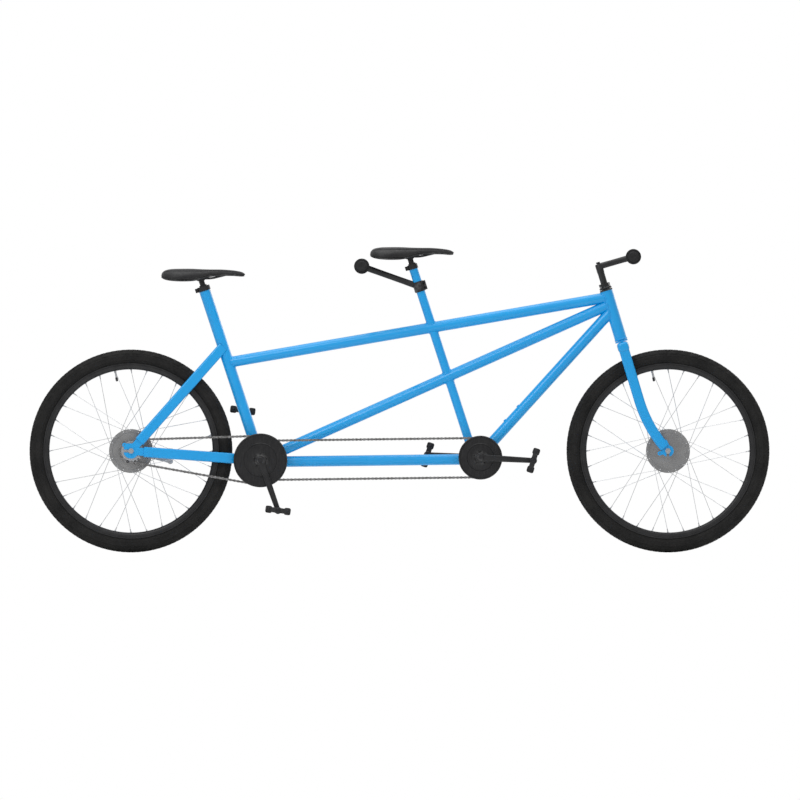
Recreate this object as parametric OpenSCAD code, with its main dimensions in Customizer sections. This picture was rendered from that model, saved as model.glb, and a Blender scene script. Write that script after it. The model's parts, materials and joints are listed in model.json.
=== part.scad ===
// Tandem bicycle: one frame, two saddles, two handlebars and two crank sets.
// Millimetres. +X is forwards, +Y is the riders' left and +Z is up. The origin
// is on the ground, halfway between the two axles.

/* [Wheels] */
// Distance between the two wheel axles
wheelbase = 1772; // [1600:4:2130]
// Outside diameter of each tyre
tyre_od = 670; // [560:2:804]
// Width of each tyre
tyre_w = 50; // [42:1:60]
// Radial depth of tyre and rim together
wheel_band = 66; // [60:1:80]
// Width of each rim
rim_w = 30; // [26:1:34]
// Spokes in each wheel, a multiple of four
spoke_count = 32; // [24:4:36]
// Diameter of a spoke
spoke_d = 1.8; // [1.6:0.1:2.4]
// Diameter of the hub flanges
flange_d = 145; // [110:1:160]
// Thickness of a hub flange
flange_t = 4; // [3:0.5:6]
// Clear width between the fork ends
front_hub_w = 100; // [96:1:110]
// Clear width between the rear dropouts
rear_hub_w = 135; // [126:1:146]
// Diameter of the wheel axles
axle_d = 9.5; // [9:0.1:12]

/* [Frame] */
// Gap from the rear tyre to the rear crank axle, measured level
rear_tyre_gap = 92; // [88:1:140]
// Distance between the two crank axles, measured level
crank_spacing = 726; // [600:2:872]
// Rear crank axle below the wheel axles
rear_bb_drop = 31; // [0:1:60]
// Front crank axle below the wheel axles
front_bb_drop = 22; // [0:1:60]
// Lean of the rear seat tube from level
rear_seat_angle = 71.8; // [70:0.1:75]
// Lean of the front seat tube from level
front_seat_angle = 72.1; // [70:0.1:75]
// Length of the rear seat tube above its crank axle
rear_seat_tube_len = 605; // [560:1:726]
// Length of the front seat tube above its crank axle
front_seat_tube_len = 670; // [640:1:804]
// Outside diameter of the rear seat tube
rear_seat_tube_d = 37; // [30.5:0.5:44]
// Outside diameter of the front seat tube
front_seat_tube_d = 29; // [28:0.5:35]
// Outside diameter of the top, lateral, down and boom tubes
main_tube_d = 35.5; // [30:0.5:43]
// Wall of the frame tubes
tube_wall = 1.6; // [1.2:0.1:2.4]
// Top tube joint on the rear seat tube, up from the crank axle
top_tube_up = 340; // [320:1:360]
// Seat stay joint on the rear seat tube, up from the crank axle
seat_stay_up = 394; // [384:1:430]
// Height of a stay's flattened section
stay_h = 34; // [24:1:36]
// Width of a stay's flattened section
stay_w = 11; // [9:0.5:13]
// Thickness of the dropouts and fork ends
dropout_t = 5; // [4:0.5:8]

/* [Steering] */
// Lean of the steering axis from level
head_angle = 73.3; // [70:0.1:76]
// Forward offset of the front axle from the steering axis
fork_rake = 43; // [30:1:55]
// Gap between the front tyre and the fork crown
crown_gap = 22; // [10:1:40]
// Length of the head tube
head_tube_len = 164; // [136:1:197]
// Outside diameter of the head tube
head_tube_d = 40; // [38:0.5:48]
// Outside diameter of the fork steerer
steerer_d = 25.4; // [25.4:0.1:28.6]
// Height of a fork blade's section, front to back
blade_h = 34; // [24:1:36]
// Width of a fork blade's section
blade_w = 16; // [12:0.5:18]
// Forward reach of the captain's stem
stem_reach = 118; // [60:1:140]
// Rise of the captain's stem from level
stem_rise = 16; // [0:1:30]
// Quill showing between the locknut and the stem's corner
quill_show = 60; // [40:1:80]
// Overall width of the captain's handlebar
captain_bar_w = 580; // [500:2:696]

/* [Riders] */
// Diameter of both handlebars
bar_d = 22.2; // [22:0.1:25.4]
// Diameter of the flange on each grip
grip_flange_d = 51; // [36:1:56]
// Length of each grip
grip_len = 128; // [100:1:150]
// Overall width of the stoker's handlebar
stoker_bar_w = 520; // [440:2:560]
// Reach of the stoker's stem behind the front seat tube
stoker_reach = 201; // [150:1:241]
// Rise of the stoker's stem from level
stoker_rise = 19.6; // [0:0.1:30]
// Stoker's stem clamp below the top of the front seat tube
stoker_clamp_down = 77; // [60:1:100]
// Length of each saddle
saddle_len = 282; // [235:1:300]
// Width of each saddle
saddle_w = 160; // [130:1:190]
// Top of the rear saddle above the top of its seat tube
rear_saddle_up = 61.5; // [60:1:90]
// Top of the front saddle above the top of its seat tube
front_saddle_up = 61; // [58:1:90]
// Diameter of both seatposts
seatpost_d = 25.4; // [25:0.1:25.4]

/* [Drive] */
// Length of each crank from axle to pedal
crank_len = 175; // [150:1:210]
// Angle of the rear right crank below level
rear_crank_angle = 70.6; // [0:0.1:90]
// Angle of the front right crank below level
front_crank_angle = 3.1; // [0:0.1:90]
// Teeth on the two timing rings
timing_teeth = 32; // [28:4:36]
// Teeth on the drive ring
drive_teeth = 40; // [36:4:44]
// Teeth on the rear sprocket
sprocket_teeth = 18; // [16:1:22]
// Chain pitch
chain_pitch = 12.7; // [12.7]
// Diameter of the crank axles
spindle_d = 17; // [15:0.5:20]
// Width of both crank shells
bb_shell_w = 68; // [68:1:82]
// Length of a pedal, front to back
pedal_len = 84; // [70:1:100]
// Width of a pedal
pedal_w = 92; // [80:1:110]
// Height of a pedal
pedal_h = 24; // [18:1:28]

/* [Hidden] */
$fn = 48;

// Colours
blue = [0, 0.57, 0.81];
black = [0.06, 0.06, 0.06];
grey = [0.48, 0.48, 0.48];
steel = [0.72, 0.73, 0.75];

// Clearances
running = 0.05;   // radial, between a shaft and what turns or slides on it
slack = 0.3;      // around chain rollers and wherever two bodies pass

// Wheel section, measured from the axle
wheel_r = tyre_od / 2;
tyre_r = tyre_w / 2;
tyre_wall = 4;
rim_in = wheel_r - wheel_band;
rim_bed = 7;
rim_flange = 3;
rim_out = wheel_r - tyre_w + 5.5;
axle_r = axle_d / 2;
cone_r = 9;
flange_r = flange_d / 2;
spoke_ring = flange_r - 6;
spoke_r = spoke_d / 2;
spoke_lift = 0.3;   // between a spoke's start and its flange

// Places in the bicycle's middle plane, each as [x, z]
rear_hub_at = [-wheelbase / 2, wheel_r];
front_hub_at = [wheelbase / 2, wheel_r];
rear_bb = rear_hub_at + [wheel_r + rear_tyre_gap, -rear_bb_drop];
front_bb = [rear_bb[0] + crank_spacing, wheel_r - front_bb_drop];

// The front crank axle sits forward of its shell's centre, in an eccentric
eccentric_offset = 7;
front_shell = front_bb - [eccentric_offset, 0];
front_seat_setback = 20;
front_seat_foot = front_bb - [front_seat_setback, 0];
boom_drop = 5;

// A point d along a tube that leans back at angle a from point p
function up_tube(p, a, d) = p + d * [-cos(a), sin(a)];
rear_seat_top = up_tube(rear_bb, rear_seat_angle, rear_seat_tube_len);
front_seat_top = up_tube(front_seat_foot, front_seat_angle, front_seat_tube_len);

// Steering axis, measured upwards from the point nearest the front axle
steer_foot = front_hub_at - fork_rake * [sin(head_angle), cos(head_angle)];
function steer(t) = up_tube(steer_foot, head_angle, t);
crown_t = 34;
cup_h = 6;
crown_low = sqrt(pow(wheel_r + crown_gap, 2) - fork_rake * fork_rake);
head_low = crown_low + crown_t + 2 * cup_h;
head_high = head_low + head_tube_len;
locknut_h = 12;
steerer_high = head_high + 2 * cup_h + locknut_h;
stem_corner = steerer_high + quill_show;

// Joints of the three upper tubes, down from the top of the head tube
top_tube_at = steer(head_high - main_tube_d / 2 - 4.25);
lateral_tube_at = steer(head_high - 46);
down_tube_at = steer(head_high - 66);
top_tube_rear = up_tube(rear_bb, rear_seat_angle, top_tube_up);
seat_stay_top = up_tube(rear_bb, rear_seat_angle, seat_stay_up);

// Tube radii
main_r = main_tube_d / 2;
rear_seat_r = rear_seat_tube_d / 2;
front_seat_r = front_seat_tube_d / 2;
head_r = head_tube_d / 2;
steerer_r = steerer_d / 2;
quill_r = 11.1;
post_r = seatpost_d / 2;
bar_r = bar_d / 2;

// Crank shells, cups and axles
shell_r = max(21, main_r + 3);
cup_r = 17.4;
eccentric_r = 28;
front_shell_r = 32;
cup_flange = 2.5;
spindle_r = spindle_d / 2;

// Chain sizes. The drive side is at -Y.
ring_t = 2.4;
roller_r = 3.85;
plate_gap = 4;
plate_t = 1.6;
chain_half = plate_gap / 2 + plate_t;
plate_r = 4.2;
function pitch_radius(n) = chain_pitch / (2 * sin(180 / n));
timing_r = pitch_radius(timing_teeth);
drive_r = pitch_radius(drive_teeth);
sprocket_r = pitch_radius(sprocket_teeth);

// Each stay runs straight to its dropout and clears the tyre where it passes
// the tyre's shoulder, at share k of its run. This is where it has to start.
tyre_side_gap = 4.2;
stay_clear_y = tyre_r + tyre_side_gap + stay_w / 2;
function start_y(k, end_y) = (stay_clear_y - k * end_y) / (1 - k);
chain_stay_run = norm(rear_bb - rear_hub_at);
chain_stay_share = (rear_tyre_gap + tyre_r) / chain_stay_run;

// The shells are wide enough for the chain stays to pass inside the timing chain
least_dropout_y = (rear_hub_w + dropout_t) / 2;
ring_share = (timing_r + plate_r) / chain_stay_run;
least_start_y = start_y(chain_stay_share, least_dropout_y);
stay_at_ring = least_start_y + ring_share * (least_dropout_y - least_start_y);
timing_out = 8;
stay_to_chain = stay_w / 2 + chain_half + 1.5;
shell_w = max(bb_shell_w, 2 * (stay_at_ring + stay_to_chain - timing_out));

// Chain planes, guards and cranks
timing_y = shell_w / 2 + timing_out;
drive_y = timing_y + 9;
guard_t = 2;
crank_y = drive_y + 17.5;
crank_t = 13;
boss_r = 16;
pedal_gap = 5;
pedal_axle_r = 4.5;
gap_r = roller_r + 0.25;
tooth_h = 3.4;
front_guard_r = timing_r + 7.8;
rear_guard_r = drive_r + 8;

// Dropouts stand outside the sprocket, and the stays spread to reach them
sprocket_end = drive_y + 4.5;
rear_w = max(rear_hub_w, 2 * (sprocket_end + 7));
dropout_y = rear_w / 2 + dropout_t / 2;
seat_stay_run = norm(seat_stay_top - rear_hub_at);
seat_stay_tip = seat_stay_run - wheel_r;
chain_stay_y = start_y(chain_stay_share, dropout_y);
seat_stay_y = start_y((seat_stay_tip + tyre_r) / seat_stay_run, dropout_y);
stay_end = 42;
eyelet_off = [-22, 20];
thread_r = 2.1;

// Rear hub, its sprocket carrier and the brake's reaction arm
hub_half = drive_y - 9;
flange_y = hub_half - flange_t;
cone_y = 30;
arm_y = hub_half + 1.5;
arm_t = 3;
arm_len = 130;
front_spacer = front_hub_w / 2 - 7;
front_hub_half = front_spacer - 1;
front_flange_y = front_hub_half - 2 * flange_t;

// Fork blades splay from the crown to the fork ends
blade_top_y = tyre_r + 7 + blade_w / 2;
blade_end_y = front_hub_w / 2 + dropout_t / 2;
blade_curve = 188;
blade_arc_r = (blade_curve * blade_curve + fork_rake * fork_rake) / (2 * fork_rake);
blade_arc = asin(blade_curve / blade_arc_r);
blade_splay = atan((blade_end_y - blade_top_y) / crown_low);
fork_eyelet_off = [-27, -8];
eyelet_r = 7;

// Crank axle planes and pedals
rear_crank_dir = [cos(rear_crank_angle), -sin(rear_crank_angle)];
front_crank_dir = [cos(front_crank_angle), -sin(front_crank_angle)];
pedal_y = crank_y + crank_t / 2 + pedal_gap;
rear_pedal_tilt = 7;
front_pedal_tilt = 72;

// A rod in the middle plane from p to q, both [x, z]
module xz_rod(p, q, r) {
    d = q - p;
    translate([p[0], 0, p[1]])
        rotate([0, atan2(d[0], d[1]), 0])
            cylinder(h = norm(d), r = r);
}

// A hollow tube in the middle plane from p to q
module xz_tube(p, q, r, wall) {
    u = (q - p) / norm(q - p);
    difference() {
        xz_rod(p, q, r);
        xz_rod(p - u, q + u, r - wall);
    }
}

// A shaft across the bicycle at p, from y0 to y1
module y_rod(p, y0, y1, r) {
    translate([p[0], y0, p[1]])
        rotate([-90, 0, 0])
            cylinder(h = y1 - y0, r = r);
}

// A flat shape drawn in [x, z], t thick, with its middle at y
module y_plate(y, t) {
    translate([0, y + t / 2, 0])
        rotate([90, 0, 0])
            linear_extrude(height = t)
                children();
}

// A shape turned about a cross axis at p, its profile drawn as [radius, y]
module y_turned(p) {
    translate([p[0], 0, p[1]])
        rotate([-90, 0, 0])
            rotate_extrude()
                children();
}

// A flattened oval h tall along X and w wide along Y
module oval(h, w) {
    square([h - w, w], center = true);
    for (s = [-1, 1])
        translate([s * (h - w) / 2, 0])
            circle(d = w);
}

// A solid bar with a flattened section between two points in space
module oval_bar(p, q, h, w) {
    d = q - p;
    translate(p)
        rotate([0, 0, atan2(d[1], d[0])])
            rotate([0, atan2(norm([d[0], d[1]]), d[2]), 0])
                linear_extrude(height = norm(d))
                    oval(h, w);
}

// A hollow run of flattened tube between two points in space
module oval_tube(p, q, h, w, wall) {
    u = (q - p) / norm(q - p);
    difference() {
        oval_bar(p, q, h, w);
        oval_bar(p - u, q + u, h - 2 * wall, w - 2 * wall);
    }
}

// A hexagon across the bicycle at p, from y0 to y1
module y_hex(p, y0, y1, r) {
    translate([p[0], y0, p[1]])
        rotate([-90, 0, 0])
            cylinder(h = y1 - y0, r = r, $fn = 6);
}

// Solid outlines of the tubes, used to mitre their neighbours
module head_solid() {
    xz_rod(steer(head_low), steer(head_high), head_r);
}
module rear_seat_solid() {
    xz_rod(rear_bb, rear_seat_top, rear_seat_r);
}
module front_seat_solid() {
    xz_rod(front_seat_foot, front_seat_top, front_seat_r);
}
module rear_shell_solid() {
    y_rod(rear_bb, -shell_w / 2, shell_w / 2, shell_r);
}
module front_shell_solid() {
    y_rod(front_shell, -shell_w / 2, shell_w / 2, front_shell_r);
}
module top_solid() {
    xz_rod(top_tube_rear, top_tube_at, main_r);
}
module lateral_solid() {
    xz_rod(rear_bb, lateral_tube_at, main_r);
}
module boom_solid() {
    xz_rod(rear_bb - [0, boom_drop], front_shell - [0, boom_drop], main_r);
}

module head_tube() {
    color(blue)
        xz_tube(steer(head_low), steer(head_high), head_r, 2.5);
}

module top_tube() {
    color(blue)
        difference() {
            xz_tube(top_tube_rear, top_tube_at, main_r, tube_wall);
            rear_seat_solid();
            front_seat_solid();
            head_solid();
        }
}

module lateral_tube() {
    color(blue)
        difference() {
            xz_tube(rear_bb, lateral_tube_at, main_r, tube_wall);
            rear_shell_solid();
            rear_seat_solid();
            boom_solid();
            front_seat_solid();
            top_solid();
            head_solid();
        }
}

module down_tube() {
    color(blue)
        difference() {
            union() {
                xz_tube(front_shell, down_tube_at, main_r, tube_wall);
                bottle_bosses(5, main_r - 3, 2.5);
            }
            front_shell_solid();
            front_seat_solid();
            lateral_solid();
            top_solid();
            head_solid();
            bottle_bosses(2.1, main_r - 4, 5);
        }
}

// Two bosses 64 mm apart on the down tube's upper side
module bottle_bosses(r, low, h) {
    u = (down_tube_at - front_shell) / norm(down_tube_at - front_shell);
    n = [-u[1], u[0]];
    for (d = [0, 64]) {
        foot = front_shell + (150 + d) * u + low * n;
        xz_rod(foot, foot + (3 + h) * n, r);
    }
}

module boom_tube() {
    color(blue)
        difference() {
            xz_tube(rear_bb - [0, boom_drop], front_shell - [0, boom_drop], main_r, tube_wall);
            rear_shell_solid();
            front_shell_solid();
            rear_seat_solid();
            front_seat_solid();
        }
}

// A seat tube bored for its post, with a thinner wall below the sleeve
module seat_tube(foot, top, angle, r, shell) {
    sleeve = 215;
    difference() {
        xz_rod(foot, top, r);
        xz_rod(foot, up_tube(top, angle, -sleeve), r - tube_wall);
        xz_rod(foot, up_tube(top, angle, 1), post_r + running);
        if (shell == "rear") rear_shell_solid();
        if (shell == "front") front_shell_solid();
    }
}

module front_seat_tube() {
    color(blue)
        seat_tube(front_seat_foot, front_seat_top, front_seat_angle, front_seat_r, "front");
}

module rear_seat_tube() {
    color(blue)
        seat_tube(rear_bb, rear_seat_top, rear_seat_angle, rear_seat_r, "rear");
}

module front_bb_shell() {
    color(blue)
        difference() {
            front_shell_solid();
            y_rod(front_shell, -shell_w, shell_w, eccentric_r);
        }
}

module rear_bb_shell() {
    color(blue)
        difference() {
            rear_shell_solid();
            y_rod(rear_bb, -shell_w, shell_w, cup_r);
        }
}

// The eccentric turns in the front shell to tension the timing chain
module eccentric_insert() {
    color(steel)
        difference() {
            y_rod(front_shell, -shell_w / 2, shell_w / 2, eccentric_r);
            y_rod(front_bb, -shell_w, shell_w, cup_r);
        }
}

module bb_cup_pair(p) {
    for (s = [-1, 1])
        difference() {
            union() {
                y_rod(p, s > 0 ? 18 : -shell_w / 2, s > 0 ? shell_w / 2 : -18, cup_r);
                y_plate(s * (shell_w + cup_flange) / 2, cup_flange)
                    translate(p)
                        circle(r = cup_r + 3);
            }
            y_rod(p, -shell_w, shell_w, spindle_r + running);
        }
}

module bb_cups() {
    color(steel) {
        bb_cup_pair(rear_bb);
        bb_cup_pair(front_bb);
    }
}

// The point d along the middle-plane line from p to q, moved out to y
function out_to(p, q, d, y) = [
    p[0] + d * (q[0] - p[0]) / norm(q - p), y, p[1] + d * (q[1] - p[1]) / norm(q - p)
];

// One pair of stays from start towards the rear axle, y0 out at the start
module stay_pair(start, y0) {
    for (s = [-1, 1]) {
        p = out_to(start, rear_hub_at, 0, s * y0);
        oval_tube(p, stay_low(start, s), stay_h, stay_w, tube_wall);
    }
}

// Where a stay stops short of the rear axle
function stay_low(start, s) = out_to(start, rear_hub_at, norm(rear_hub_at - start) - stay_end, s * dropout_y);

// A round bridge between a pair of stays, d along them from start
module stay_bridge(start, y0, d) {
    at = out_to(start, rear_hub_at, d, 0);
    reach = y0 + (dropout_y - y0) * d / norm(rear_hub_at - start);
    y_rod([at[0], at[2]], -reach, reach, 6);
}

module chain_stays() {
    color(blue)
        difference() {
            union() {
                stay_pair(rear_bb, chain_stay_y);
                stay_bridge(rear_bb, chain_stay_y, rear_tyre_gap - 36);
            }
            rear_shell_solid();
            dropout_pair();
        }
}

module seat_stays() {
    color(blue)
        difference() {
            union() {
                stay_pair(seat_stay_top, seat_stay_y);
                stay_bridge(seat_stay_top, seat_stay_y, seat_stay_tip - 46);
            }
            rear_seat_solid();
            dropout_pair();
        }
}

// Outline of a rear dropout: a boss round the axle, an arm up each stay, an
// eyelet behind, and a slot for the axle that opens backwards
module dropout_shape() {
    eye = rear_hub_at + eyelet_off;
    difference() {
        union() {
            translate(rear_hub_at)
                circle(r = 25);
            stay_arm(rear_bb);
            stay_arm(seat_stay_top);
            translate(eye)
                circle(r = eyelet_r);
            translate((eye + rear_hub_at) / 2)
                square([13, norm(eyelet_off)], center = true);
        }
        translate(rear_hub_at)
            circle(r = axle_r + 0.25);
        translate(rear_hub_at - [15, 0])
            square([30, axle_d + 0.5], center = true);
        translate(eye)
            circle(r = thread_r);
    }
}

// A dropout's arm, which runs inside the end of a stay
module stay_arm(from) {
    u = (from - rear_hub_at) / norm(from - rear_hub_at);
    translate(rear_hub_at)
        rotate(atan2(u[1], u[0]))
            translate([10, -13])
                square([stay_end + 14, 26]);
}

module dropout_pair() {
    for (s = [-1, 1])
        y_plate(s * dropout_y, dropout_t)
            dropout_shape();
}

module rear_dropouts() {
    color(blue)
        dropout_pair();
}

module headset_cups() {
    color(steel)
        for (c = [[head_low - cup_h, 1], [head_high, 0]])
            difference() {
                union() {
                    xz_rod(steer(c[0]), steer(c[0] + cup_h), head_r + 1.5);
                    xz_rod(steer(c[0] - 12 + 24 * c[1]), steer(c[0] + cup_h), head_r - 2.5);
                }
                xz_rod(steer(head_low - 20), steer(head_high + 20), steerer_r + running);
            }
}

// A collar round the top of a seat tube, with a slot and a pinch bolt behind
collar_h = 16;
collar_wall = 2.5;
ear_w = 16;
ear_reach = 11;
pinch_r = 2.5;
pinch_head_r = 4.5;
pinch_end = 12;
module seat_collar(top, angle, r) {
    translate([top[0], 0, top[1]])
        rotate([0, angle - 90, 0])
            difference() {
                union() {
                    translate([0, 0, -collar_h])
                        cylinder(h = collar_h, r = r + collar_wall);
                    translate([-r - ear_reach, -ear_w / 2, 1 - collar_h])
                        cube([ear_reach + 1, ear_w, collar_h - 2]);
                }
                translate([0, 0, -collar_h - 4])
                    cylinder(h = collar_h + 8, r = r);
                translate([-r - ear_reach - 1, -1, -collar_h - 4])
                    cube([ear_reach + 3, 2, collar_h + 8]);
                translate([-r - pinch_back, 0, -collar_h / 2])
                    rotate([90, 0, 0])
                        cylinder(h = 40, r = pinch_r + running, center = true);
            }
    y_rod(pinch_at(top, angle, r), -pinch_end, ear_w / 2 + running, pinch_r);
    y_rod(pinch_at(top, angle, r), ear_w / 2 + running, pinch_end, pinch_head_r);
}

// Centre of a collar's pinch bolt
pinch_back = 6;
function pinch_at(top, angle, r) =
    up_tube(top, angle, -collar_h / 2) - (r + pinch_back) * [sin(angle), cos(angle)];

module seat_collars() {
    color(black) {
        seat_collar(front_seat_top, front_seat_angle, front_seat_r);
        seat_collar(rear_seat_top, rear_seat_angle, rear_seat_r);
    }
}

// Fixed rear axle with its cones, locknuts and outer nuts
module rear_axle() {
    color(steel)
        axle_set(rear_hub_at, rear_w, [arm_y + arm_t, -sprocket_end]);
}

// An axle, its two cones, and the spacers and nuts that clamp the ends.
// inner holds where the left and right spacers start.
nut_t = 7;
nut_r = 9.5;
axle_stub = 14;
cone_t = 8;
module axle_set(p, w, inner) {
    out = w / 2 + dropout_t;
    y_rod(p, -out - axle_stub, out + axle_stub, axle_r);
    for (s = [-1, 1]) {
        from = s > 0 ? inner[0] : inner[1];
        y_turned(p)
            ring_profile(axle_r, cone_r - 1, min(from, s * w / 2), abs(s * w / 2 - from));
        y_turned(p)
            ring_profile(axle_r, cone_r, s > 0 ? cone_y : -cone_y - cone_t, cone_t);
        difference() {
            y_hex(p, s > 0 ? out : -out - nut_t, s > 0 ? out + nut_t : -out, nut_r);
            y_rod(p, -out - axle_stub - 6, out + axle_stub + 6, axle_r);
        }
    }
}

// A washer's section from inner radius a to outer radius b, h wide from y0
module ring_profile(a, b, y0, h) {
    translate([a, y0])
        square([b - a, h]);
}

// The brake's reaction arm, held below the left chain stay by a strap
module reaction_arm() {
    u = (rear_bb - rear_hub_at) / norm(rear_bb - rear_hub_at);
    tip = rear_hub_at + arm_len * u - [0, stay_h / 2 + 8];
    p = out_to(rear_bb, rear_hub_at, 0, chain_stay_y);
    e = stay_low(rear_bb, 1);
    v = (e - p) / norm(e - p);
    mid = e - v * (arm_len - stay_end);
    color(steel) {
        y_plate(arm_y + arm_t / 2, arm_t)
            difference() {
                union() {
                    translate(rear_hub_at)
                        circle(r = 16);
                    translate(tip)
                        circle(r = 9);
                    bar_2d(rear_hub_at, tip, 13);
                }
                translate(rear_hub_at)
                    circle(r = axle_r);
            }
        difference() {
            oval_bar(mid - 7 * v, mid + 7 * v, stay_h + 3, stay_w + 3);
            oval_bar(p, e, stay_h, stay_w);
        }
    }
}

// A straight bar w wide between two points of a flat shape
module bar_2d(p, q, w) {
    d = q - p;
    translate(p)
        rotate(atan2(d[1], d[0]))
            translate([0, -w / 2])
                square([norm(d), w]);
}

// Stoker's bar and the stem that carries it behind the front seat tube
stoker_clamp = up_tube(front_seat_foot, front_seat_angle, front_seat_tube_len - stoker_clamp_down);
stoker_bar = up_tube(stoker_clamp, stoker_rise, stoker_reach);
stem_r = 10.5;
clamp_wall = 4.5;

module stoker_stem() {
    color(black)
        difference() {
            union() {
                xz_rod(stoker_clamp, stoker_bar, stem_r);
                xz_rod(
                    up_tube(stoker_clamp, front_seat_angle, -17),
                    up_tube(stoker_clamp, front_seat_angle, 17),
                    front_seat_r + 4
                );
                y_rod(stoker_bar, -21, 21, bar_r + clamp_wall);
            }
            front_seat_solid();
            y_rod(stoker_bar, -30, 30, bar_r);
        }
}

// A straight handlebar of overall width w centred on p
module handlebar(p, w) {
    difference() {
        y_rod(p, -w / 2, w / 2, bar_r);
        y_rod(p, -w, w, bar_r - tube_wall);
    }
}

// Two grips with a flange at the inner end of each and a cap at the outer end
module grip_pair(p, w) {
    cap = 3;
    for (s = [-1, 1])
        y_turned(p) {
            in = w / 2 - grip_len + cap;
            side = s > 0 ? 0 : 1;
            mirror([0, side])
                translate([bar_r, in])
                    square([4.2, grip_len - cap]);
            mirror([0, side])
                translate([bar_r, in])
                    square([grip_flange_d / 2 - bar_r, 4]);
            mirror([0, side])
                translate([0, w / 2])
                    square([bar_r + 6, cap]);
        }
}

module stoker_handlebar() {
    color(steel)
        handlebar(stoker_bar, stoker_bar_w);
}

module stoker_grips() {
    color(black)
        grip_pair(stoker_bar, stoker_bar_w);
}

// The fork's own frame: origin at the steering foot, Z up the steering axis
module in_fork() {
    translate([steer_foot[0], 0, steer_foot[1]])
        rotate([0, head_angle - 90, 0])
            children();
}

module fork_steerer() {
    race = crown_low + crown_t;
    color(steel)
        in_fork()
            rotate_extrude() {
                translate([quill_r + running, race])
                    square([steerer_r - quill_r - running, steerer_high - race]);
                translate([quill_r + running, race])
                    square([head_r + 1 - quill_r, cup_h - slack]);
            }
}

// One blade, straight above and curved forwards to the axle below
module blade(h, w) {
    translate([0, 0, blade_curve])
        linear_extrude(height = crown_low + 24 - blade_curve)
            oval(h, w);
    translate([blade_arc_r, 0, blade_curve])
        rotate([90, 0, 0])
            rotate_extrude(angle = blade_arc - 2, start = 180)
                translate([blade_arc_r, 0])
                    oval(h, w);
}

module splayed(s) {
    translate([0, s * blade_end_y, 0])
        rotate([s * blade_splay, 0, 0])
            children();
}

// A fork end: a boss round the axle with its slot open below, an arm up into
// the blade, and an eyelet behind
module fork_end_shape() {
    translate(front_hub_at)
        difference() {
            union() {
                circle(r = 19);
                bar_2d([0, 0], [-16, 32], 25);
                bar_2d([0, 0], fork_eyelet_off, 12);
                translate(fork_eyelet_off)
                    circle(r = eyelet_r);
            }
            circle(r = axle_r + 0.25);
            translate([0, -15])
                square([axle_d + 0.5, 30], center = true);
            translate(fork_eyelet_off)
                circle(r = thread_r);
        }
}

module fork_blades() {
    color(blue) {
        in_fork()
            for (s = [-1, 1])
                splayed(s)
                    difference() {
                        blade(blade_h, blade_w);
                        blade(blade_h - 2 * tube_wall, blade_w - 2 * tube_wall);
                    }
        for (s = [-1, 1])
            y_plate(s * blade_end_y, dropout_t)
                fork_end_shape();
    }
}

module fork_crown() {
    half = blade_top_y + blade_w / 2 + 3;
    color(blue)
        in_fork()
            difference() {
                translate([-22, -half, crown_low])
                    cube([44, 2 * half, crown_t]);
                for (s = [-1, 1])
                    splayed(s)
                        blade(blade_h, blade_w);
            }
}

module headset_locknuts() {
    low = head_high + cup_h + slack;
    color(steel)
        in_fork()
            difference() {
                union() {
                    translate([0, 0, low])
                        cylinder(h = 8, r = head_r + 0.5);
                    translate([0, 0, low + 8])
                        cylinder(h = steerer_high + 2 - low - 8, r = 18, $fn = 8);
                }
                translate([0, 0, low - 1])
                    cylinder(h = 60, r = steerer_r);
            }
}

module front_axle() {
    color(steel)
        axle_set(front_hub_at, front_hub_w, [front_spacer, -front_spacer]);
}

// Quill stem, with a slanted foot that the wedge slides against
quill_len = 150;
quill_low = stem_corner - quill_len;
wedge_slant = 30;
wedge_drop = 30;
expander_r = 4;
expander_high = stem_corner + 10;
expander_head_r = 6.5;
expander_head_t = 5;
bar_clamp_half = 21;
captain_bar = steer(stem_corner) + stem_reach * [cos(stem_rise), sin(stem_rise)];

module below_slant() {
    translate([0, 0, quill_low])
        rotate([0, wedge_slant, 0])
            translate([-50, -50, -100])
                cube([100, 100, 100]);
}

module quill_stem() {
    color(black)
        difference() {
            union() {
                in_fork()
                    difference() {
                        translate([0, 0, quill_low - 10])
                            cylinder(h = quill_len + 20, r = quill_r);
                        below_slant();
                    }
                xz_rod(steer(stem_corner), captain_bar, stem_r);
                y_rod(captain_bar, -bar_clamp_half, bar_clamp_half, bar_r + clamp_wall);
            }
            y_rod(captain_bar, -30, 30, bar_r);
            xz_rod(steer(quill_low - 60), steer(stem_corner + 20), expander_r + 0.2);
        }
}

module stem_wedge() {
    color(steel)
        in_fork() {
            intersection() {
                translate([0, 0, quill_low - wedge_drop])
                    cylinder(h = wedge_drop + 10, r = quill_r);
                below_slant();
            }
            translate([0, 0, quill_low - wedge_drop + 10])
                cylinder(h = expander_high - quill_low + wedge_drop - 10, r = expander_r);
            translate([0, 0, expander_high])
                cylinder(h = expander_head_t, r = expander_head_r);
        }
}

module captain_handlebar() {
    color(steel)
        handlebar(captain_bar, captain_bar_w);
}

module captain_grips() {
    color(black)
        grip_pair(captain_bar, captain_bar_w);
}

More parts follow.
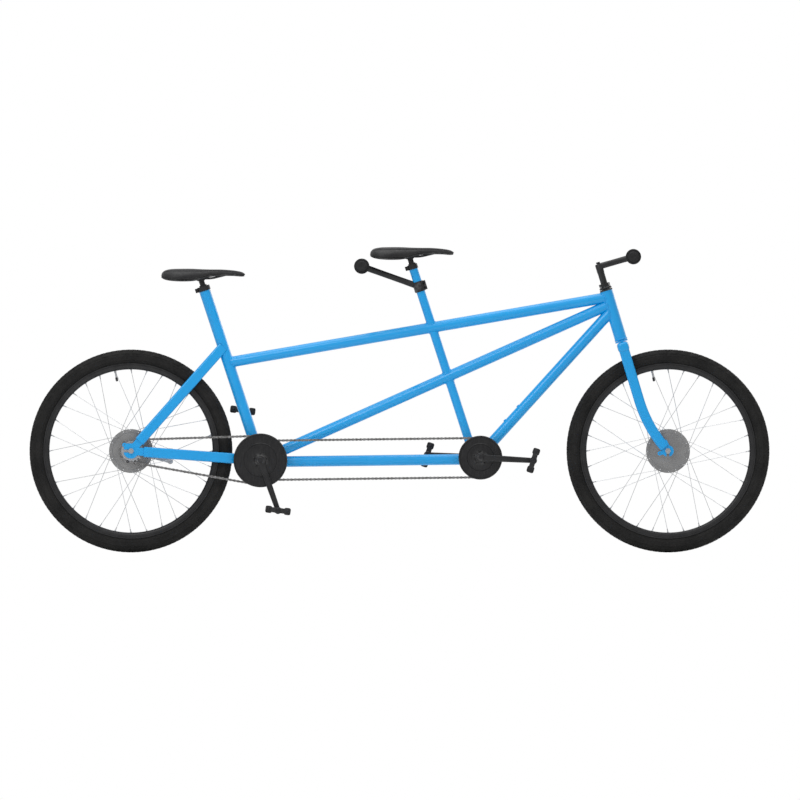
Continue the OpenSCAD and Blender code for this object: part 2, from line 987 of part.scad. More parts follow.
// Tyre casing over the rim, with the inner tube inside it
module tyre(p) {
    mid = wheel_r - tyre_r;
    seat = mid - tyre_r + 6;
    color(black)
        y_turned(p) {
            difference() {
                union() {
                    translate([mid, 0])
                        circle(r = tyre_r);
                    translate([rim_in + rim_bed + 1, -bead_y])
                        square([seat - rim_in - rim_bed, 2 * bead_y]);
                }
                translate([mid, 0])
                    circle(r = tyre_r - tyre_wall);
                translate([rim_in, -bead_y + 3.2])
                    square([seat - rim_in + 1, 2 * bead_y - 6.4]);
                for (s = [-1, 1])
                    translate([rim_in, s > 0 ? bead_y : -bead_y - 20])
                        square([seat - rim_in, 20]);
            }
            difference() {
                translate([mid, 0])
                    circle(r = tyre_r - tyre_wall - 0.4);
                translate([mid, 0])
                    circle(r = tyre_r - tyre_wall - 1.6);
            }
        }
}
bead_y = rim_w / 2 - rim_flange - 0.2;

// Rim, a channel open outwards
module rim(p) {
    color(black)
        y_turned(p)
            difference() {
                translate([rim_in, -rim_w / 2])
                    square([rim_out - rim_in, rim_w]);
                translate([rim_in + rim_bed, rim_flange - rim_w / 2])
                    square([rim_out, rim_w - 2 * rim_flange]);
            }
}

// Crossed spokes. Each flange carries half, and they leave it alternately
// from its outer and its inner face.
module spokes(p, y) {
    color(steel) {
        half_the_spokes(p, y, 1);
        half_the_spokes(p, y, -1);
    }
}

// The spokes that leave the flanges' outer faces (lead 1) or inner (lead -1)
module half_the_spokes(p, y, lead) {
    side_count = spoke_count / 2;
    step = 360 / side_count;
    first = lead > 0 ? 0 : 1;
    for (s = [-1, 1])
        for (i = [first : 2 : side_count - 1]) {
            hub_a = i * step + (s > 0 ? step / 2 : 0);
            rim_a = hub_a + lead * 2 * step;
            from = wheel_point(p, spoke_ring, hub_a, s * (y + lead * (flange_t / 2 + spoke_r + spoke_lift)));
            to = wheel_point(p, rim_in - 0.1, rim_a, s * 3);
            d = to - from;
            translate(from)
                rotate([0, acos(d[2] / norm(d)), atan2(d[1], d[0])])
                    cylinder(h = norm(d), r = spoke_r, $fn = 16);
        }
}
function wheel_point(p, r, a, y) = [p[0] + r * cos(a), y, p[1] + r * sin(a)];

// Hub shell: a barrel with two flanges, hollow between its bearing seats. The
// flanges' rims are notched where the outer spokes cross them.
module hub(p, y, half, barrel) {
    color(grey)
        difference() {
            y_turned(p)
                difference() {
                    union() {
                        translate([cone_r + running, -half])
                            square([barrel - cone_r - running, 2 * half]);
                        for (s = [-1, 1])
                            translate([cone_r + running, s * y - flange_t / 2])
                                square([flange_r - cone_r - running, flange_t]);
                    }
                    translate([0, -cone_y + 2])
                        square([barrel - 3, 2 * cone_y - 4]);
                }
            half_the_spokes(p, y, 1);
        }
}

module front_tyre() {
    tyre(front_hub_at);
}
module front_rim() {
    rim(front_hub_at);
}
module front_spokes() {
    spokes(front_hub_at, front_flange_y);
}
module front_hub() {
    hub(front_hub_at, front_flange_y, front_hub_half, 20);
}
module rear_tyre() {
    tyre(rear_hub_at);
}
module rear_rim() {
    rim(rear_hub_at);
}
module rear_spokes() {
    spokes(rear_hub_at, flange_y);
}
module rear_hub() {
    hub(rear_hub_at, flange_y, hub_half, 30);
}

// Direction of the upper tangent point on two sprockets at a and b
function lean(a, b) = atan2(b[1] - a[1], b[0] - a[0]);
function tangent(a, ra, b, rb) = lean(a, b) + acos((ra - rb) / norm(b - a));
function on_circle(p, r, t) = p + r * [cos(t), sin(t)];

// A toothed plate's outline with n gaps, one of them at angle t
module toothed(p, n, t, bore) {
    pr = pitch_radius(n);
    half = chain_pitch / 2 * (1 + tooth_h / pr) - 1.2;
    translate(p)
        difference() {
            circle(r = pr + tooth_h);
            for (i = [0 : n - 1])
                rotate(t + i * 360 / n)
                    translate([pr, 0]) {
                        circle(r = gap_r);
                        polygon([[0, -gap_r], [tooth_h + 1, -half], [tooth_h + 1, half], [0, gap_r]]);
                    }
            circle(r = bore);
        }
}

timing_tangent = tangent(rear_bb, timing_r, front_bb, timing_r);
drive_tangent = tangent(rear_hub_at, sprocket_r, rear_bb, drive_r);

// Round windows through a ring
window_count = 5;
window_step = 360 / window_count;
module windows(p, r, size) {
    for (i = [0 : window_count - 1])
        translate(on_circle(p, r, window_step / 4 + i * window_step))
            circle(r = size);
}

module rear_sprocket() {
    driver_r = 15;
    color(steel) {
        y_plate(-drive_y, ring_t)
            toothed(rear_hub_at, sprocket_teeth, drive_tangent, driver_r);
        y_turned(rear_hub_at)
            ring_profile(axle_r + running, driver_r, 0.5 - sprocket_end, sprocket_end - hub_half - 1);
    }
}

module timing_ring(p) {
    color(black)
        y_plate(-timing_y, ring_t)
            difference() {
                toothed(p, timing_teeth, timing_tangent, boss_r);
                windows(p, 39, 14);
            }
}

module rear_timing_ring() {
    timing_ring(rear_bb);
}
module front_timing_ring() {
    timing_ring(front_bb);
}

module rear_drive_ring() {
    color(black)
        y_plate(-drive_y, ring_t)
            difference() {
                toothed(rear_bb, drive_teeth, drive_tangent, boss_r);
                windows(rear_bb, 48, 17);
            }
}

module guard_disc(p, y, r) {
    color(black)
        y_plate(-y, guard_t)
            translate(p)
                difference() {
                    circle(r = r);
                    circle(r = boss_r);
                }
}

module rear_guard_disc() {
    guard_disc(rear_bb, drive_y + chain_half + 1 + guard_t / 2, rear_guard_r);
}
module front_guard_disc() {
    guard_disc(front_bb, timing_y + chain_half + 1 + guard_t / 2, front_guard_r);
}

// The right and left crank arms on the axle at p, with d the right arm's way
module crank_arms(p, d) {
    ring_face = timing_y - ring_t / 2;
    face = crank_y - crank_t / 2;
    end = crank_y + crank_t / 2;
    color(black)
        for (s = [-1, 1]) {
            eye = p - s * crank_len * d;
            boss_in = s < 0 ? ring_face : face - 8;
            difference() {
                union() {
                    y_plate(s * crank_y, crank_t)
                        bar_2d(p, eye, 19);
                    y_rod(p, s > 0 ? boss_in : -end, s > 0 ? end : -boss_in, boss_r);
                    y_rod(eye, s > 0 ? face : -end, s > 0 ? end : -face, 12);
                }
                y_rod(p, -end - 1, end + 1, spindle_r);
                y_rod(eye, -end - 1, end + 1, pedal_axle_r + 2.5);
            }
        }
}

// The crank axle with its end caps, and the two pedal axles
module crank_axles(p, d) {
    end = crank_y + crank_t / 2;
    color(steel) {
        y_rod(p, -end, end, spindle_r);
        for (s = [-1, 1]) {
            eye = p - s * crank_len * d;
            far = pedal_y + pedal_w - 12;
            y_hex(p, s > 0 ? end : -end - 4, s > 0 ? end + 4 : -end, 11);
            y_rod(eye, s > 0 ? end - crank_t : -end, s > 0 ? end : crank_t - end, pedal_axle_r + 2.5);
            y_rod(eye, s > 0 ? end : -far, s > 0 ? far : -end, pedal_axle_r);
        }
    }
}

module rear_crank_arms() {
    crank_arms(rear_bb, rear_crank_dir);
}
module front_crank_arms() {
    crank_arms(front_bb, front_crank_dir);
}
module rear_crank_axles() {
    crank_axles(rear_bb, rear_crank_dir);
}
module front_crank_axles() {
    crank_axles(front_bb, front_crank_dir);
}

// A block pedal at p on side s, its length turned to angle t
module pedal(p, s, t) {
    y0 = s > 0 ? pedal_y : -pedal_y - pedal_w;
    block_w = 22;
    plate = 4;
    color(black)
        difference() {
            union() {
                y_rod(p, y0 + plate / 2, y0 + pedal_w - plate / 2, 7.5);
                translate([p[0], y0, p[1]])
                    rotate([0, -t, 0]) {
                        for (e = [-1, 1])
                            translate([e * (pedal_len - block_w) / 2 - block_w / 2, plate, -pedal_h / 2])
                                cube([block_w, pedal_w - 2 * plate, pedal_h]);
                        for (y = [0, pedal_w - plate])
                            translate([-pedal_len / 2, y, -8])
                                cube([pedal_len, plate, 16]);
                    }
            }
            y_rod(
                p, s > 0 ? 0 : -pedal_y - pedal_w + 8, s > 0 ? pedal_y + pedal_w - 8 : 0,
                pedal_axle_r + running
            );
        }
}

module front_right_pedal() {
    pedal(front_bb + crank_len * front_crank_dir, -1, front_pedal_tilt);
}
module front_left_pedal() {
    pedal(front_bb - crank_len * front_crank_dir, 1, front_pedal_tilt);
}
module rear_right_pedal() {
    pedal(rear_bb + crank_len * rear_crank_dir, -1, -rear_pedal_tilt);
}
module rear_left_pedal() {
    pedal(rear_bb - crank_len * rear_crank_dir, 1, -rear_pedal_tilt);
}

// One side plate band of a chain: an arc round each sprocket and two straights
module chain_band(a, ra, b, rb, y) {
    t = tangent(a, ra, b, rb);
    m = 2 * lean(a, b) - t;
    band_arc(a, ra, t, 360 + m - t, y);
    band_arc(b, rb, m, t - m, y);
    y_plate(y, plate_t) {
        bar_2d(on_circle(a, ra, t), on_circle(b, rb, t), 2 * plate_r);
        bar_2d(on_circle(a, ra, m), on_circle(b, rb, m), 2 * plate_r);
    }
}
module band_arc(p, r, from, sweep, y) {
    translate([p[0], y + plate_t / 2, p[1]])
        rotate([90, 0, 0])
            rotate_extrude(angle = sweep, start = from)
                translate([r - plate_r, 0])
                    square([2 * plate_r, plate_t]);
}

// A roller chain round a sprocket of na teeth at a and one of nb teeth at b.
// Rollers sit in the tooth gaps, and the straight runs share what is between.
module chain(a, na, b, nb, y) {
    ra = pitch_radius(na);
    rb = pitch_radius(nb);
    t = tangent(a, ra, b, rb);
    half = t - lean(a, b);
    ka = floor((360 - 2 * half) / (360 / na));
    kb = floor(2 * half / (360 / nb));
    wrap_a = [for (i = [0 : ka]) on_circle(a, ra, t + i * 360 / na)];
    wrap_b = [for (i = [0 : kb]) on_circle(b, rb, t - i * 360 / nb)];
    color(steel) {
        for (q = concat(wrap_a, wrap_b, run_points(wrap_a[0], wrap_b[0]), run_points(wrap_a[ka], wrap_b[kb])))
            y_rod(q, -y - plate_gap / 2 + running, -y + plate_gap / 2 - running, roller_r);
        for (s = [-1, 1])
            chain_band(a, ra, b, rb, -y + s * (plate_gap + plate_t) / 2);
    }
}

// Roller centres along a straight run, its two ends left out
function run_points(p, q) = let(n = round(norm(q - p) / chain_pitch))
    [for (i = [1 : n - 1]) p + (q - p) * i / n];

module drive_chain() {
    chain(rear_hub_at, sprocket_teeth, rear_bb, drive_teeth, drive_y);
}
module timing_chain() {
    chain(rear_bb, timing_teeth, front_bb, timing_teeth, timing_y);
}

// Saddle and post, measured from the top of the seat tube
saddle_setback = 140;
post_in = 200;
post_wall = 2.2;
neck_r = 9;
clamp_up = 27;
rail_y = 20;
rail_r = 3.5;

// Places a saddle drawn with its tail at x = 0 and its top at z = 0
module at_saddle(top, up) {
    translate([top[0] - saddle_setback, 0, top[1] + up])
        children();
}

// Side outline of the padded saddle: deep at the tail, thin at the nose
module saddle_side() {
    nose = saddle_len;
    polygon([
        [0, -18], [8, -6], [28, 0], [nose - 132, 0], [nose - 62, -3],
        [nose - 22, -8], [nose - 4, -15], [nose, -22], [nose - 6, -27],
        [nose - 42, -21], [nose - 102, -22], [nose - 140, -31],
        [nose - 165, -42], [60, -44], [14, -38], [0, -28]
    ]);
}

// Plan outline of the saddle, broad at the tail and slim at the nose
module saddle_plan() {
    tail_r = 36;
    hull() {
        for (s = [-1, 1])
            translate([tail_r + 8, s * (saddle_w / 2 - tail_r)])
                circle(r = tail_r, $fn = 32);
        translate([118, 0])
            circle(r = 30, $fn = 32);
    }
    hull() {
        translate([110, 0])
            circle(r = 33, $fn = 32);
        translate([saddle_len - 19, 0])
            circle(r = 19, $fn = 32);
    }
    translate([0, -saddle_w / 4])
        square([40, saddle_w / 2]);
}

module saddle_pad() {
    difference() {
        intersection() {
            rotate([90, 0, 0])
                linear_extrude(height = saddle_w, center = true)
                    saddle_side();
            translate([0, 0, -60])
                linear_extrude(height = 70)
                    saddle_plan();
        }
        translate([34, -saddle_w / 4 + 6, -70])
            cube([saddle_len - 134, saddle_w / 2 - 12, 45]);
    }
}

// Two rails under the pad, and the clamp that holds them to the post
module saddle_rails_at(top, angle, up) {
    clamp = up_tube(top, angle, clamp_up);
    z = clamp_up * sin(angle) - up;
    tail = [34, 0, z];
    color(steel)
        difference() {
            union() {
                at_saddle(top, up)
                    for (s = [-1, 1]) {
                        bend = [saddle_len - 114, s * rail_y, z];
                        rail(tail + [0, s * rail_y, 0], bend, rail_r / 2);
                        rail(bend, [saddle_len - 52, s * 9, -18], rail_r);
                    }
                y_rod(clamp, -26, 26, 12);
            }
            at_saddle(top, up)
                saddle_pad();
            post(top, angle);
        }
}

// A saddle rail between two points in space, with a ball of radius r at p
module rail(p, q, r) {
    d = q - p;
    translate(p) {
        sphere(r = r);
        rotate([0, acos(d[2] / norm(d)), atan2(d[1], d[0])])
            cylinder(h = norm(d), r = rail_r);
    }
}

// A seatpost, hollow below and closed at its top, with a slimmer solid neck
module post(top, angle) {
    difference() {
        xz_rod(up_tube(top, angle, -post_in), up_tube(top, angle, 4), post_r);
        xz_rod(up_tube(top, angle, -post_in - 1), up_tube(top, angle, -12), post_r - post_wall);
    }
    xz_rod(up_tube(top, angle, 0), up_tube(top, angle, clamp_up + 6), neck_r);
}

module front_saddle() {
    color(black)
        at_saddle(front_seat_top, front_saddle_up)
            saddle_pad();
}
module front_saddle_rails() {
    saddle_rails_at(front_seat_top, front_seat_angle, front_saddle_up);
}
module front_seatpost() {
    color(black)
        post(front_seat_top, front_seat_angle);
}
module rear_saddle() {
    color(black)
        at_saddle(rear_seat_top, rear_saddle_up)
            saddle_pad();
}
module rear_saddle_rails() {
    saddle_rails_at(rear_seat_top, rear_seat_angle, rear_saddle_up);
}
module rear_seatpost() {
    color(black)
        post(rear_seat_top, rear_seat_angle);
}

head_tube();
top_tube();
lateral_tube();
down_tube();
boom_tube();
front_seat_tube();
rear_seat_tube();
front_bb_shell();
rear_bb_shell();
chain_stays();
seat_stays();
rear_dropouts();
headset_cups();
seat_collars();
eccentric_insert();
bb_cups();
rear_axle();
reaction_arm();
stoker_stem();
stoker_handlebar();
stoker_grips();
fork_steerer();
fork_crown();
fork_blades();
headset_locknuts();
front_axle();
quill_stem();
stem_wedge();
captain_handlebar();
captain_grips();
front_tyre();
front_rim();
front_spokes();
front_hub();
rear_tyre();
rear_rim();
rear_spokes();
rear_hub();
rear_sprocket();
rear_crank_axles();
rear_crank_arms();
rear_timing_ring();
rear_drive_ring();
rear_guard_disc();
front_crank_axles();
front_crank_arms();
front_timing_ring();
front_guard_disc();
drive_chain();
timing_chain();
front_right_pedal();
front_left_pedal();
rear_right_pedal();
rear_left_pedal();
front_saddle();
front_saddle_rails();
front_seatpost();
rear_saddle();
rear_saddle_rails();
rear_seatpost();
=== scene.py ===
import json
from math import acos, atan2, cos, floor, hypot, pi, radians, sin, sqrt

import bmesh
import bpy
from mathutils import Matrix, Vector
from mathutils.bvhtree import BVHTree
from mathutils.geometry import tessellate_polygon


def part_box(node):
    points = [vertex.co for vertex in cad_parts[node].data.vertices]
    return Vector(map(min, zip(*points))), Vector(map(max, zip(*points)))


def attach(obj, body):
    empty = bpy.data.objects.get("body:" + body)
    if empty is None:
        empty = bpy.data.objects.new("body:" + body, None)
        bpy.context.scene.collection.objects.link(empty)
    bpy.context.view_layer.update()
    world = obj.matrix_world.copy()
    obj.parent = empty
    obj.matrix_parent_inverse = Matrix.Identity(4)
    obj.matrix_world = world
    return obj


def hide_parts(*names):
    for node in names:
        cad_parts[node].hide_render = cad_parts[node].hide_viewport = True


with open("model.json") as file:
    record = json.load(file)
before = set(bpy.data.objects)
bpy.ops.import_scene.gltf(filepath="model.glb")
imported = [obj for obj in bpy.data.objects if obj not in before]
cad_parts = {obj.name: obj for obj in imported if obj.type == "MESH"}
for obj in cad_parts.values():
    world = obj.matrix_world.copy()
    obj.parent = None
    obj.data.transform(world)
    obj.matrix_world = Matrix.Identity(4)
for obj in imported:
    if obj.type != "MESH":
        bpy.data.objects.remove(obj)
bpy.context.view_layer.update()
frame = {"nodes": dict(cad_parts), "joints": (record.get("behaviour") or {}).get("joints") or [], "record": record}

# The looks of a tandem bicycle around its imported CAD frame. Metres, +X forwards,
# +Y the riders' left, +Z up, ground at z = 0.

# ---------------------------------------------------------------- places

JOINTS = {joint["name"]: joint for joint in frame["joints"]}
SLOT_OF = {part["node"]: part["material_slot"] for part in frame["record"]["subparts"]}


def joint_place(name):
    return Vector(JOINTS[name]["pos_m"])


def joint_axis(name):
    return Vector(JOINTS[name]["axis"]).normalized()


def extent(node):
    low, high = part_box(node)
    return high - low


def middle(node):
    low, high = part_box(node)
    return (low + high) / 2


ACROSS = Vector((0, 1, 0))
FRONT_HUB = joint_place("front_wheel_spin")
REAR_HUB = joint_place("rear_wheel_spin")
FRONT_BB = joint_place("front_crank_spin")
REAR_BB = joint_place("rear_crank_spin")
STEER_AT = joint_place("steering")
STEER_UP = joint_axis("steering")
FRONT_SEAT_UP = joint_axis("front_seat_height")
REAR_SEAT_UP = joint_axis("rear_seat_height")

WHEEL_R = extent("front_tyre").z / 2
TYRE_R = extent("front_tyre").y / 2
RIM_OUT = extent("front_rim").z / 2
RIM_HALF = extent("front_rim").y / 2
RIM_IN = RIM_OUT - 0.0215
TUBE_R = extent("top_tube").y / 2
HEAD_R = extent("head_tube").y / 2
REAR_SEAT_R = extent("rear_seat_tube").y / 2
FRONT_SEAT_R = extent("front_seat_tube").y / 2
SHELL_R = extent("rear_bb_shell").z / 2
FRONT_SHELL_R = extent("front_bb_shell").z / 2
BAR_R = extent("captain_handlebar").z / 2
FRONT_SHELL_AT = middle("front_bb_shell")
CAPTAIN_BAR = middle("captain_handlebar")
STOKER_BAR = middle("stoker_handlebar")
FLANGE_R = extent("front_hub").z / 2
FLANGE_T = 0.004
SPOKES = 32
SPOKE_R = 0.0009
SPOKE_RING = FLANGE_R - 0.006
PITCH = 0.0127
TIMING_TEETH = 32
DRIVE_TEETH = 40
SPROCKET_TEETH = 18
TIMING_Y = middle("rear_timing_ring").y
DRIVE_Y = middle("rear_drive_ring").y
TOP_TUBE_UP = 0.340
BOOM_DROP = 0.005
SEAT_FOOT_BACK = 0.020
TUBE_JOINTS_DOWN = (0.022, 0.046, 0.066)
HEADSET_BORE = 0.01275


def height_on(point, along, z):
    """The point at height z on a line through point."""
    return point + along * ((z - point.z) / along.z)


def head_top():
    """Centre of the head tube's upper end, from the box of its tilted rim."""
    rise = HEAD_R * sqrt(1 - STEER_UP.z ** 2)
    return height_on(STEER_AT, STEER_UP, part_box("head_tube")[1].z - rise)


HEAD_TOP = head_top()
FRONT_SEAT_FOOT = FRONT_BB - Vector((SEAT_FOOT_BACK, 0, 0))
SEAT_TOPS = {
    "front": height_on(
        FRONT_SEAT_FOOT, FRONT_SEAT_UP,
        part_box("front_seat_tube")[1].z - FRONT_SEAT_R * sqrt(1 - FRONT_SEAT_UP.z ** 2)),
    "rear": height_on(
        REAR_BB, REAR_SEAT_UP,
        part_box("rear_seat_tube")[1].z - REAR_SEAT_R * sqrt(1 - REAR_SEAT_UP.z ** 2)),
}
SEAT_UP = {"front": FRONT_SEAT_UP, "rear": REAR_SEAT_UP}

# ---------------------------------------------------------------- mesh tools


class Shell:
    """Vertices and faces of several closed runs, gathered into one mesh."""

    def __init__(self):
        self.verts = []
        self.faces = []

    def add(self, run):
        verts, faces = run
        first = len(self.verts)
        self.verts.extend(tuple(v) for v in verts)
        self.faces.extend(tuple(first + i for i in face) for face in faces)
        return self


def grid_faces(rows, columns, rows_close, columns_close):
    faces = []
    for i in range(rows if rows_close else rows - 1):
        for j in range(columns if columns_close else columns - 1):
            k, m = (i + 1) % rows, (j + 1) % columns
            faces.append((i * columns + j, i * columns + m, k * columns + m, k * columns + j))
    return faces


def turned(profile, at, axis=ACROSS, steps=64):
    """A shape of revolution. Its profile is a closed loop of (radius, along)."""
    axis = Vector(axis).normalized()
    side = axis.orthogonal().normalized()
    other = axis.cross(side)
    verts = []
    for i in range(steps):
        out = side * cos(2 * pi * i / steps) + other * sin(2 * pi * i / steps)
        verts += [at + out * r + axis * t for r, t in profile]
    return verts, grid_faces(steps, len(profile), True, True)


def rod_profile(radius, low, high, chamfer):
    """Profile of a solid rod with chamfered ends."""
    return [(0, low), (radius - chamfer, low), (radius, low + chamfer),
            (radius, high - chamfer), (radius - chamfer, high), (0, high)]


def ring_profile(inner, outer, low, high, chamfer):
    """Profile of a ring with chamfered outer edges."""
    return [(inner, low), (outer - chamfer, low), (outer, low + chamfer),
            (outer, high - chamfer), (outer - chamfer, high), (inner, high)]


def dome_profile(radius, low, height, steps=6):
    """Profile of a screw head: a short wall and a dome over it."""
    wall = height * 0.35
    loop = [(0, low), (radius, low), (radius, low + wall)]
    for i in range(1, steps + 1):
        a = pi / 2 * i / steps
        loop.append((radius * cos(a), low + wall + (height - wall) * sin(a)))
    return loop


def swept(path, sections, side, closed=False):
    """One section, or one for each point, carried along a path. A section's
    first coordinate lies towards side."""
    path = [Vector(p) for p in path]
    each = isinstance(sections[0][0], (list, tuple))
    count = len(sections[0]) if each else len(sections)
    last = len(path) - 1
    verts = []
    for i, point in enumerate(path):
        if closed:
            before, after = path[i - 1], path[(i + 1) % len(path)]
        else:
            before, after = path[max(i - 1, 0)], path[min(i + 1, last)]
        ahead = (after - before).normalized()
        u = (side - ahead * side.dot(ahead)).normalized()
        v = ahead.cross(u)
        for a, b in (sections[i] if each else sections):
            verts.append(point + u * a + v * b)
    faces = grid_faces(len(path), count, closed, True)
    if not closed:
        faces += [tuple(range(count)), tuple(range(last * count, (last + 1) * count))]
    return verts, faces


def oval(a, b, steps=24, power=2.0):
    """A closed superellipse with half-sizes a and b; power 2 is an ellipse."""
    points = []
    for i in range(steps):
        c, s = cos(2 * pi * i / steps), sin(2 * pi * i / steps)
        x = a * abs(c) ** (2 / power) * (1 if c >= 0 else -1)
        y = b * abs(s) ** (2 / power) * (1 if s >= 0 else -1)
        points.append((x, y))
    return points


def round_corners(points, radius, steps=8):
    """A path of straight runs whose corners are rounded."""
    points = [Vector(p) for p in points]
    path = [points[0]]
    for a, b, c in zip(points, points[1:], points[2:]):
        start = b + (a - b).normalized() * radius
        end = b + (c - b).normalized() * radius
        for i in range(steps + 1):
            t = i / steps
            path.append(start * (1 - t) ** 2 + b * 2 * t * (1 - t) + end * t ** 2)
    path.append(points[-1])
    return path


def circle_points(x, z, radius, steps=24, start=0.0, sweep=2 * pi):
    """Points [x, z] round a circle, or round part of one."""
    whole = abs(sweep - 2 * pi) < 1e-6
    share = steps if whole else steps - 1
    return [(x + radius * cos(start + sweep * i / share), z + radius * sin(start + sweep * i / share))
            for i in range(steps)]


def plate(outline, holes, low, high):
    """A flat plate across Y with holes in it; outlines are lists of (x, z)."""
    loops = [outline] + list(holes)
    flat = [[Vector((x, z, 0)) for x, z in loop] for loop in loops]
    triangles = tessellate_polygon(flat)
    points = [p for loop in loops for p in loop]
    count = len(points)
    verts = [(x, low, z) for x, z in points] + [(x, high, z) for x, z in points]
    faces = [tuple(t) for t in triangles] + [tuple(count + i for i in t) for t in triangles]
    first = 0
    for loop in loops:
        n = len(loop)
        for i in range(n):
            a, b = first + i, first + (i + 1) % n
            faces.append((a, b, count + b, count + a))
        first += n
    return verts, faces


def build(name, shell, body, surface, stands_for=(), sharp=32, bevel=0.0):
    """Makes a piece from a shell, on its body and with its material."""
    mesh = bpy.data.meshes.new(name)
    mesh.from_pydata(shell.verts, [], shell.faces)
    work = bmesh.new()
    work.from_mesh(mesh)
    bmesh.ops.remove_doubles(work, verts=work.verts, dist=1e-6)
    bmesh.ops.dissolve_degenerate(work, edges=work.edges, dist=1e-7)
    bmesh.ops.recalc_face_normals(work, faces=work.faces)
    work.to_mesh(mesh)
    work.free()
    mesh.shade_smooth()
    mesh.set_sharp_from_angle(angle=radians(sharp))
    mesh.materials.append(surface)
    piece = bpy.data.objects.new(name, mesh)
    bpy.context.scene.collection.objects.link(piece)
    if bevel:
        edge = piece.modifiers.new("edges", "BEVEL")
        edge.width = bevel
        edge.segments = 3
        edge.limit_method = "ANGLE"
        edge.angle_limit = radians(35)
        edge.harden_normals = True
    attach(piece, body)
    if stands_for:
        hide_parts(*stands_for)
    return piece


# ---------------------------------------------------------------- materials


class Surface:
    """A material whose constants sit on its shader, with fields of noise that
    vary its colour, roughness and height."""

    def __init__(self, name, colour, roughness, metallic=0.0, coat=0.0, coat_roughness=0.05,
                 specular=0.5):
        self.material = bpy.data.materials.new(name)
        self.material.use_nodes = True
        self.nodes = self.material.node_tree.nodes
        self.links = self.material.node_tree.links
        self.shader = self.nodes["Principled BSDF"]
        self.shader.inputs["Base Color"].default_value = (*colour, 1)
        self.shader.inputs["Roughness"].default_value = roughness
        self.shader.inputs["Metallic"].default_value = metallic
        self.shader.inputs["Coat Weight"].default_value = coat
        self.shader.inputs["Coat Roughness"].default_value = coat_roughness
        self.shader.inputs["Specular IOR Level"].default_value = specular
        self.height = None
        self.place = self.nodes.new("ShaderNodeTexCoord").outputs["Object"]

    def mapped(self, scale=(1, 1, 1), shift=(0, 0, 0)):
        node = self.nodes.new("ShaderNodeMapping")
        node.inputs["Location"].default_value = shift
        node.inputs["Scale"].default_value = scale
        self.links.new(self.place, node.inputs["Vector"])
        return node.outputs["Vector"]

    def noise(self, scale, detail=4.0, vector=None, distortion=0.0):
        node = self.nodes.new("ShaderNodeTexNoise")
        node.inputs["Scale"].default_value = scale
        node.inputs["Detail"].default_value = detail
        node.inputs["Distortion"].default_value = distortion
        self.links.new(vector or self.place, node.inputs["Vector"])
        return node.outputs["Fac"]

    def cells(self, scale, feature="F1", vector=None):
        node = self.nodes.new("ShaderNodeTexVoronoi")
        node.feature = feature
        node.inputs["Scale"].default_value = scale
        self.links.new(vector or self.place, node.inputs["Vector"])
        return node.outputs["Distance"]

    def rings(self, centre, scale):
        """Concentric turning marks round a cross axis at centre."""
        node = self.nodes.new("ShaderNodeTexWave")
        node.wave_type = "RINGS"
        node.rings_direction = "Y"
        node.inputs["Scale"].default_value = scale
        node.inputs["Distortion"].default_value = 0.6
        node.inputs["Detail"].default_value = 3.0
        self.links.new(self.mapped(shift=-Vector(centre)), node.inputs["Vector"])
        return node.outputs["Fac"]

    def ramp(self, field, low, high, at_low=0.0, at_high=1.0):
        node = self.nodes.new("ShaderNodeMapRange")
        for name, value in (("From Min", at_low), ("From Max", at_high), ("To Min", low), ("To Max", high)):
            node.inputs[name].default_value = value
        self.links.new(field, node.inputs["Value"])
        return node.outputs["Result"]

    def rough(self, field, low, high, at_low=0.3, at_high=0.7):
        self.links.new(self.ramp(field, low, high, at_low, at_high), self.shader.inputs["Roughness"])
        return self

    def tint(self, field, dark, light, at_low=0.3, at_high=0.7):
        """Colour from dark to light as the field rises, over what is there."""
        node = self.nodes.new("ShaderNodeMix")
        node.data_type = "RGBA"
        node.inputs[6].default_value = (*dark, 1)
        node.inputs[7].default_value = (*light, 1)
        self.links.new(self.ramp(field, 0.0, 1.0, at_low, at_high), node.inputs["Factor"])
        linked = self.shader.inputs["Base Color"].links
        if linked:
            self.links.new(linked[0].from_socket, node.inputs[6])
        self.links.new(node.outputs[2], self.shader.inputs["Base Color"])
        return self

    def worn(self, light, low=0.53, high=0.60):
        """Lighter along convex edges, where paint or anodising rubs away."""
        geometry = self.nodes.new("ShaderNodeNewGeometry")
        patchy = self.nodes.new("ShaderNodeMath")
        patchy.operation = "MULTIPLY"
        self.links.new(self.ramp(geometry.outputs["Pointiness"], 0.0, 1.0, low, high), patchy.inputs[0])
        self.links.new(self.ramp(self.noise(60, 5), 0.0, 1.0, 0.45, 0.65), patchy.inputs[1])
        return self.tint(patchy.outputs[0], (0, 0, 0), light, 0.0, 1.0)

    def bump(self, field, strength, distance):
        node = self.nodes.new("ShaderNodeBump")
        node.inputs["Strength"].default_value = strength
        node.inputs["Distance"].default_value = distance
        self.links.new(field, node.inputs["Height"])
        if self.height:
            self.links.new(self.height, node.inputs["Normal"])
        self.height = node.outputs["Normal"]
        self.links.new(self.height, self.shader.inputs["Normal"])
        return self


BLUE = (0.0, 0.350, 0.790)
BLUE_DEEP = (0.0, 0.325, 0.750)
BLACK = (0.006, 0.006, 0.007)


def frame_paint():
    """Glossy enamel with a little orange peel and fine lighter flecks all over."""
    s = Surface("frame_paint", BLUE, 0.32, coat=0.45, coat_roughness=0.04, specular=0.35)
    s.tint(s.noise(7, 3), BLUE_DEEP, BLUE)
    s.tint(s.noise(420, 2), BLUE, (0.005, 0.38, 0.82), 0.62, 0.80)
    s.rough(s.noise(30, 5), 0.26, 0.40)
    return s.bump(s.noise(260, 2), 0.06, 0.0004).bump(s.noise(1400, 2), 0.05, 0.0001).material


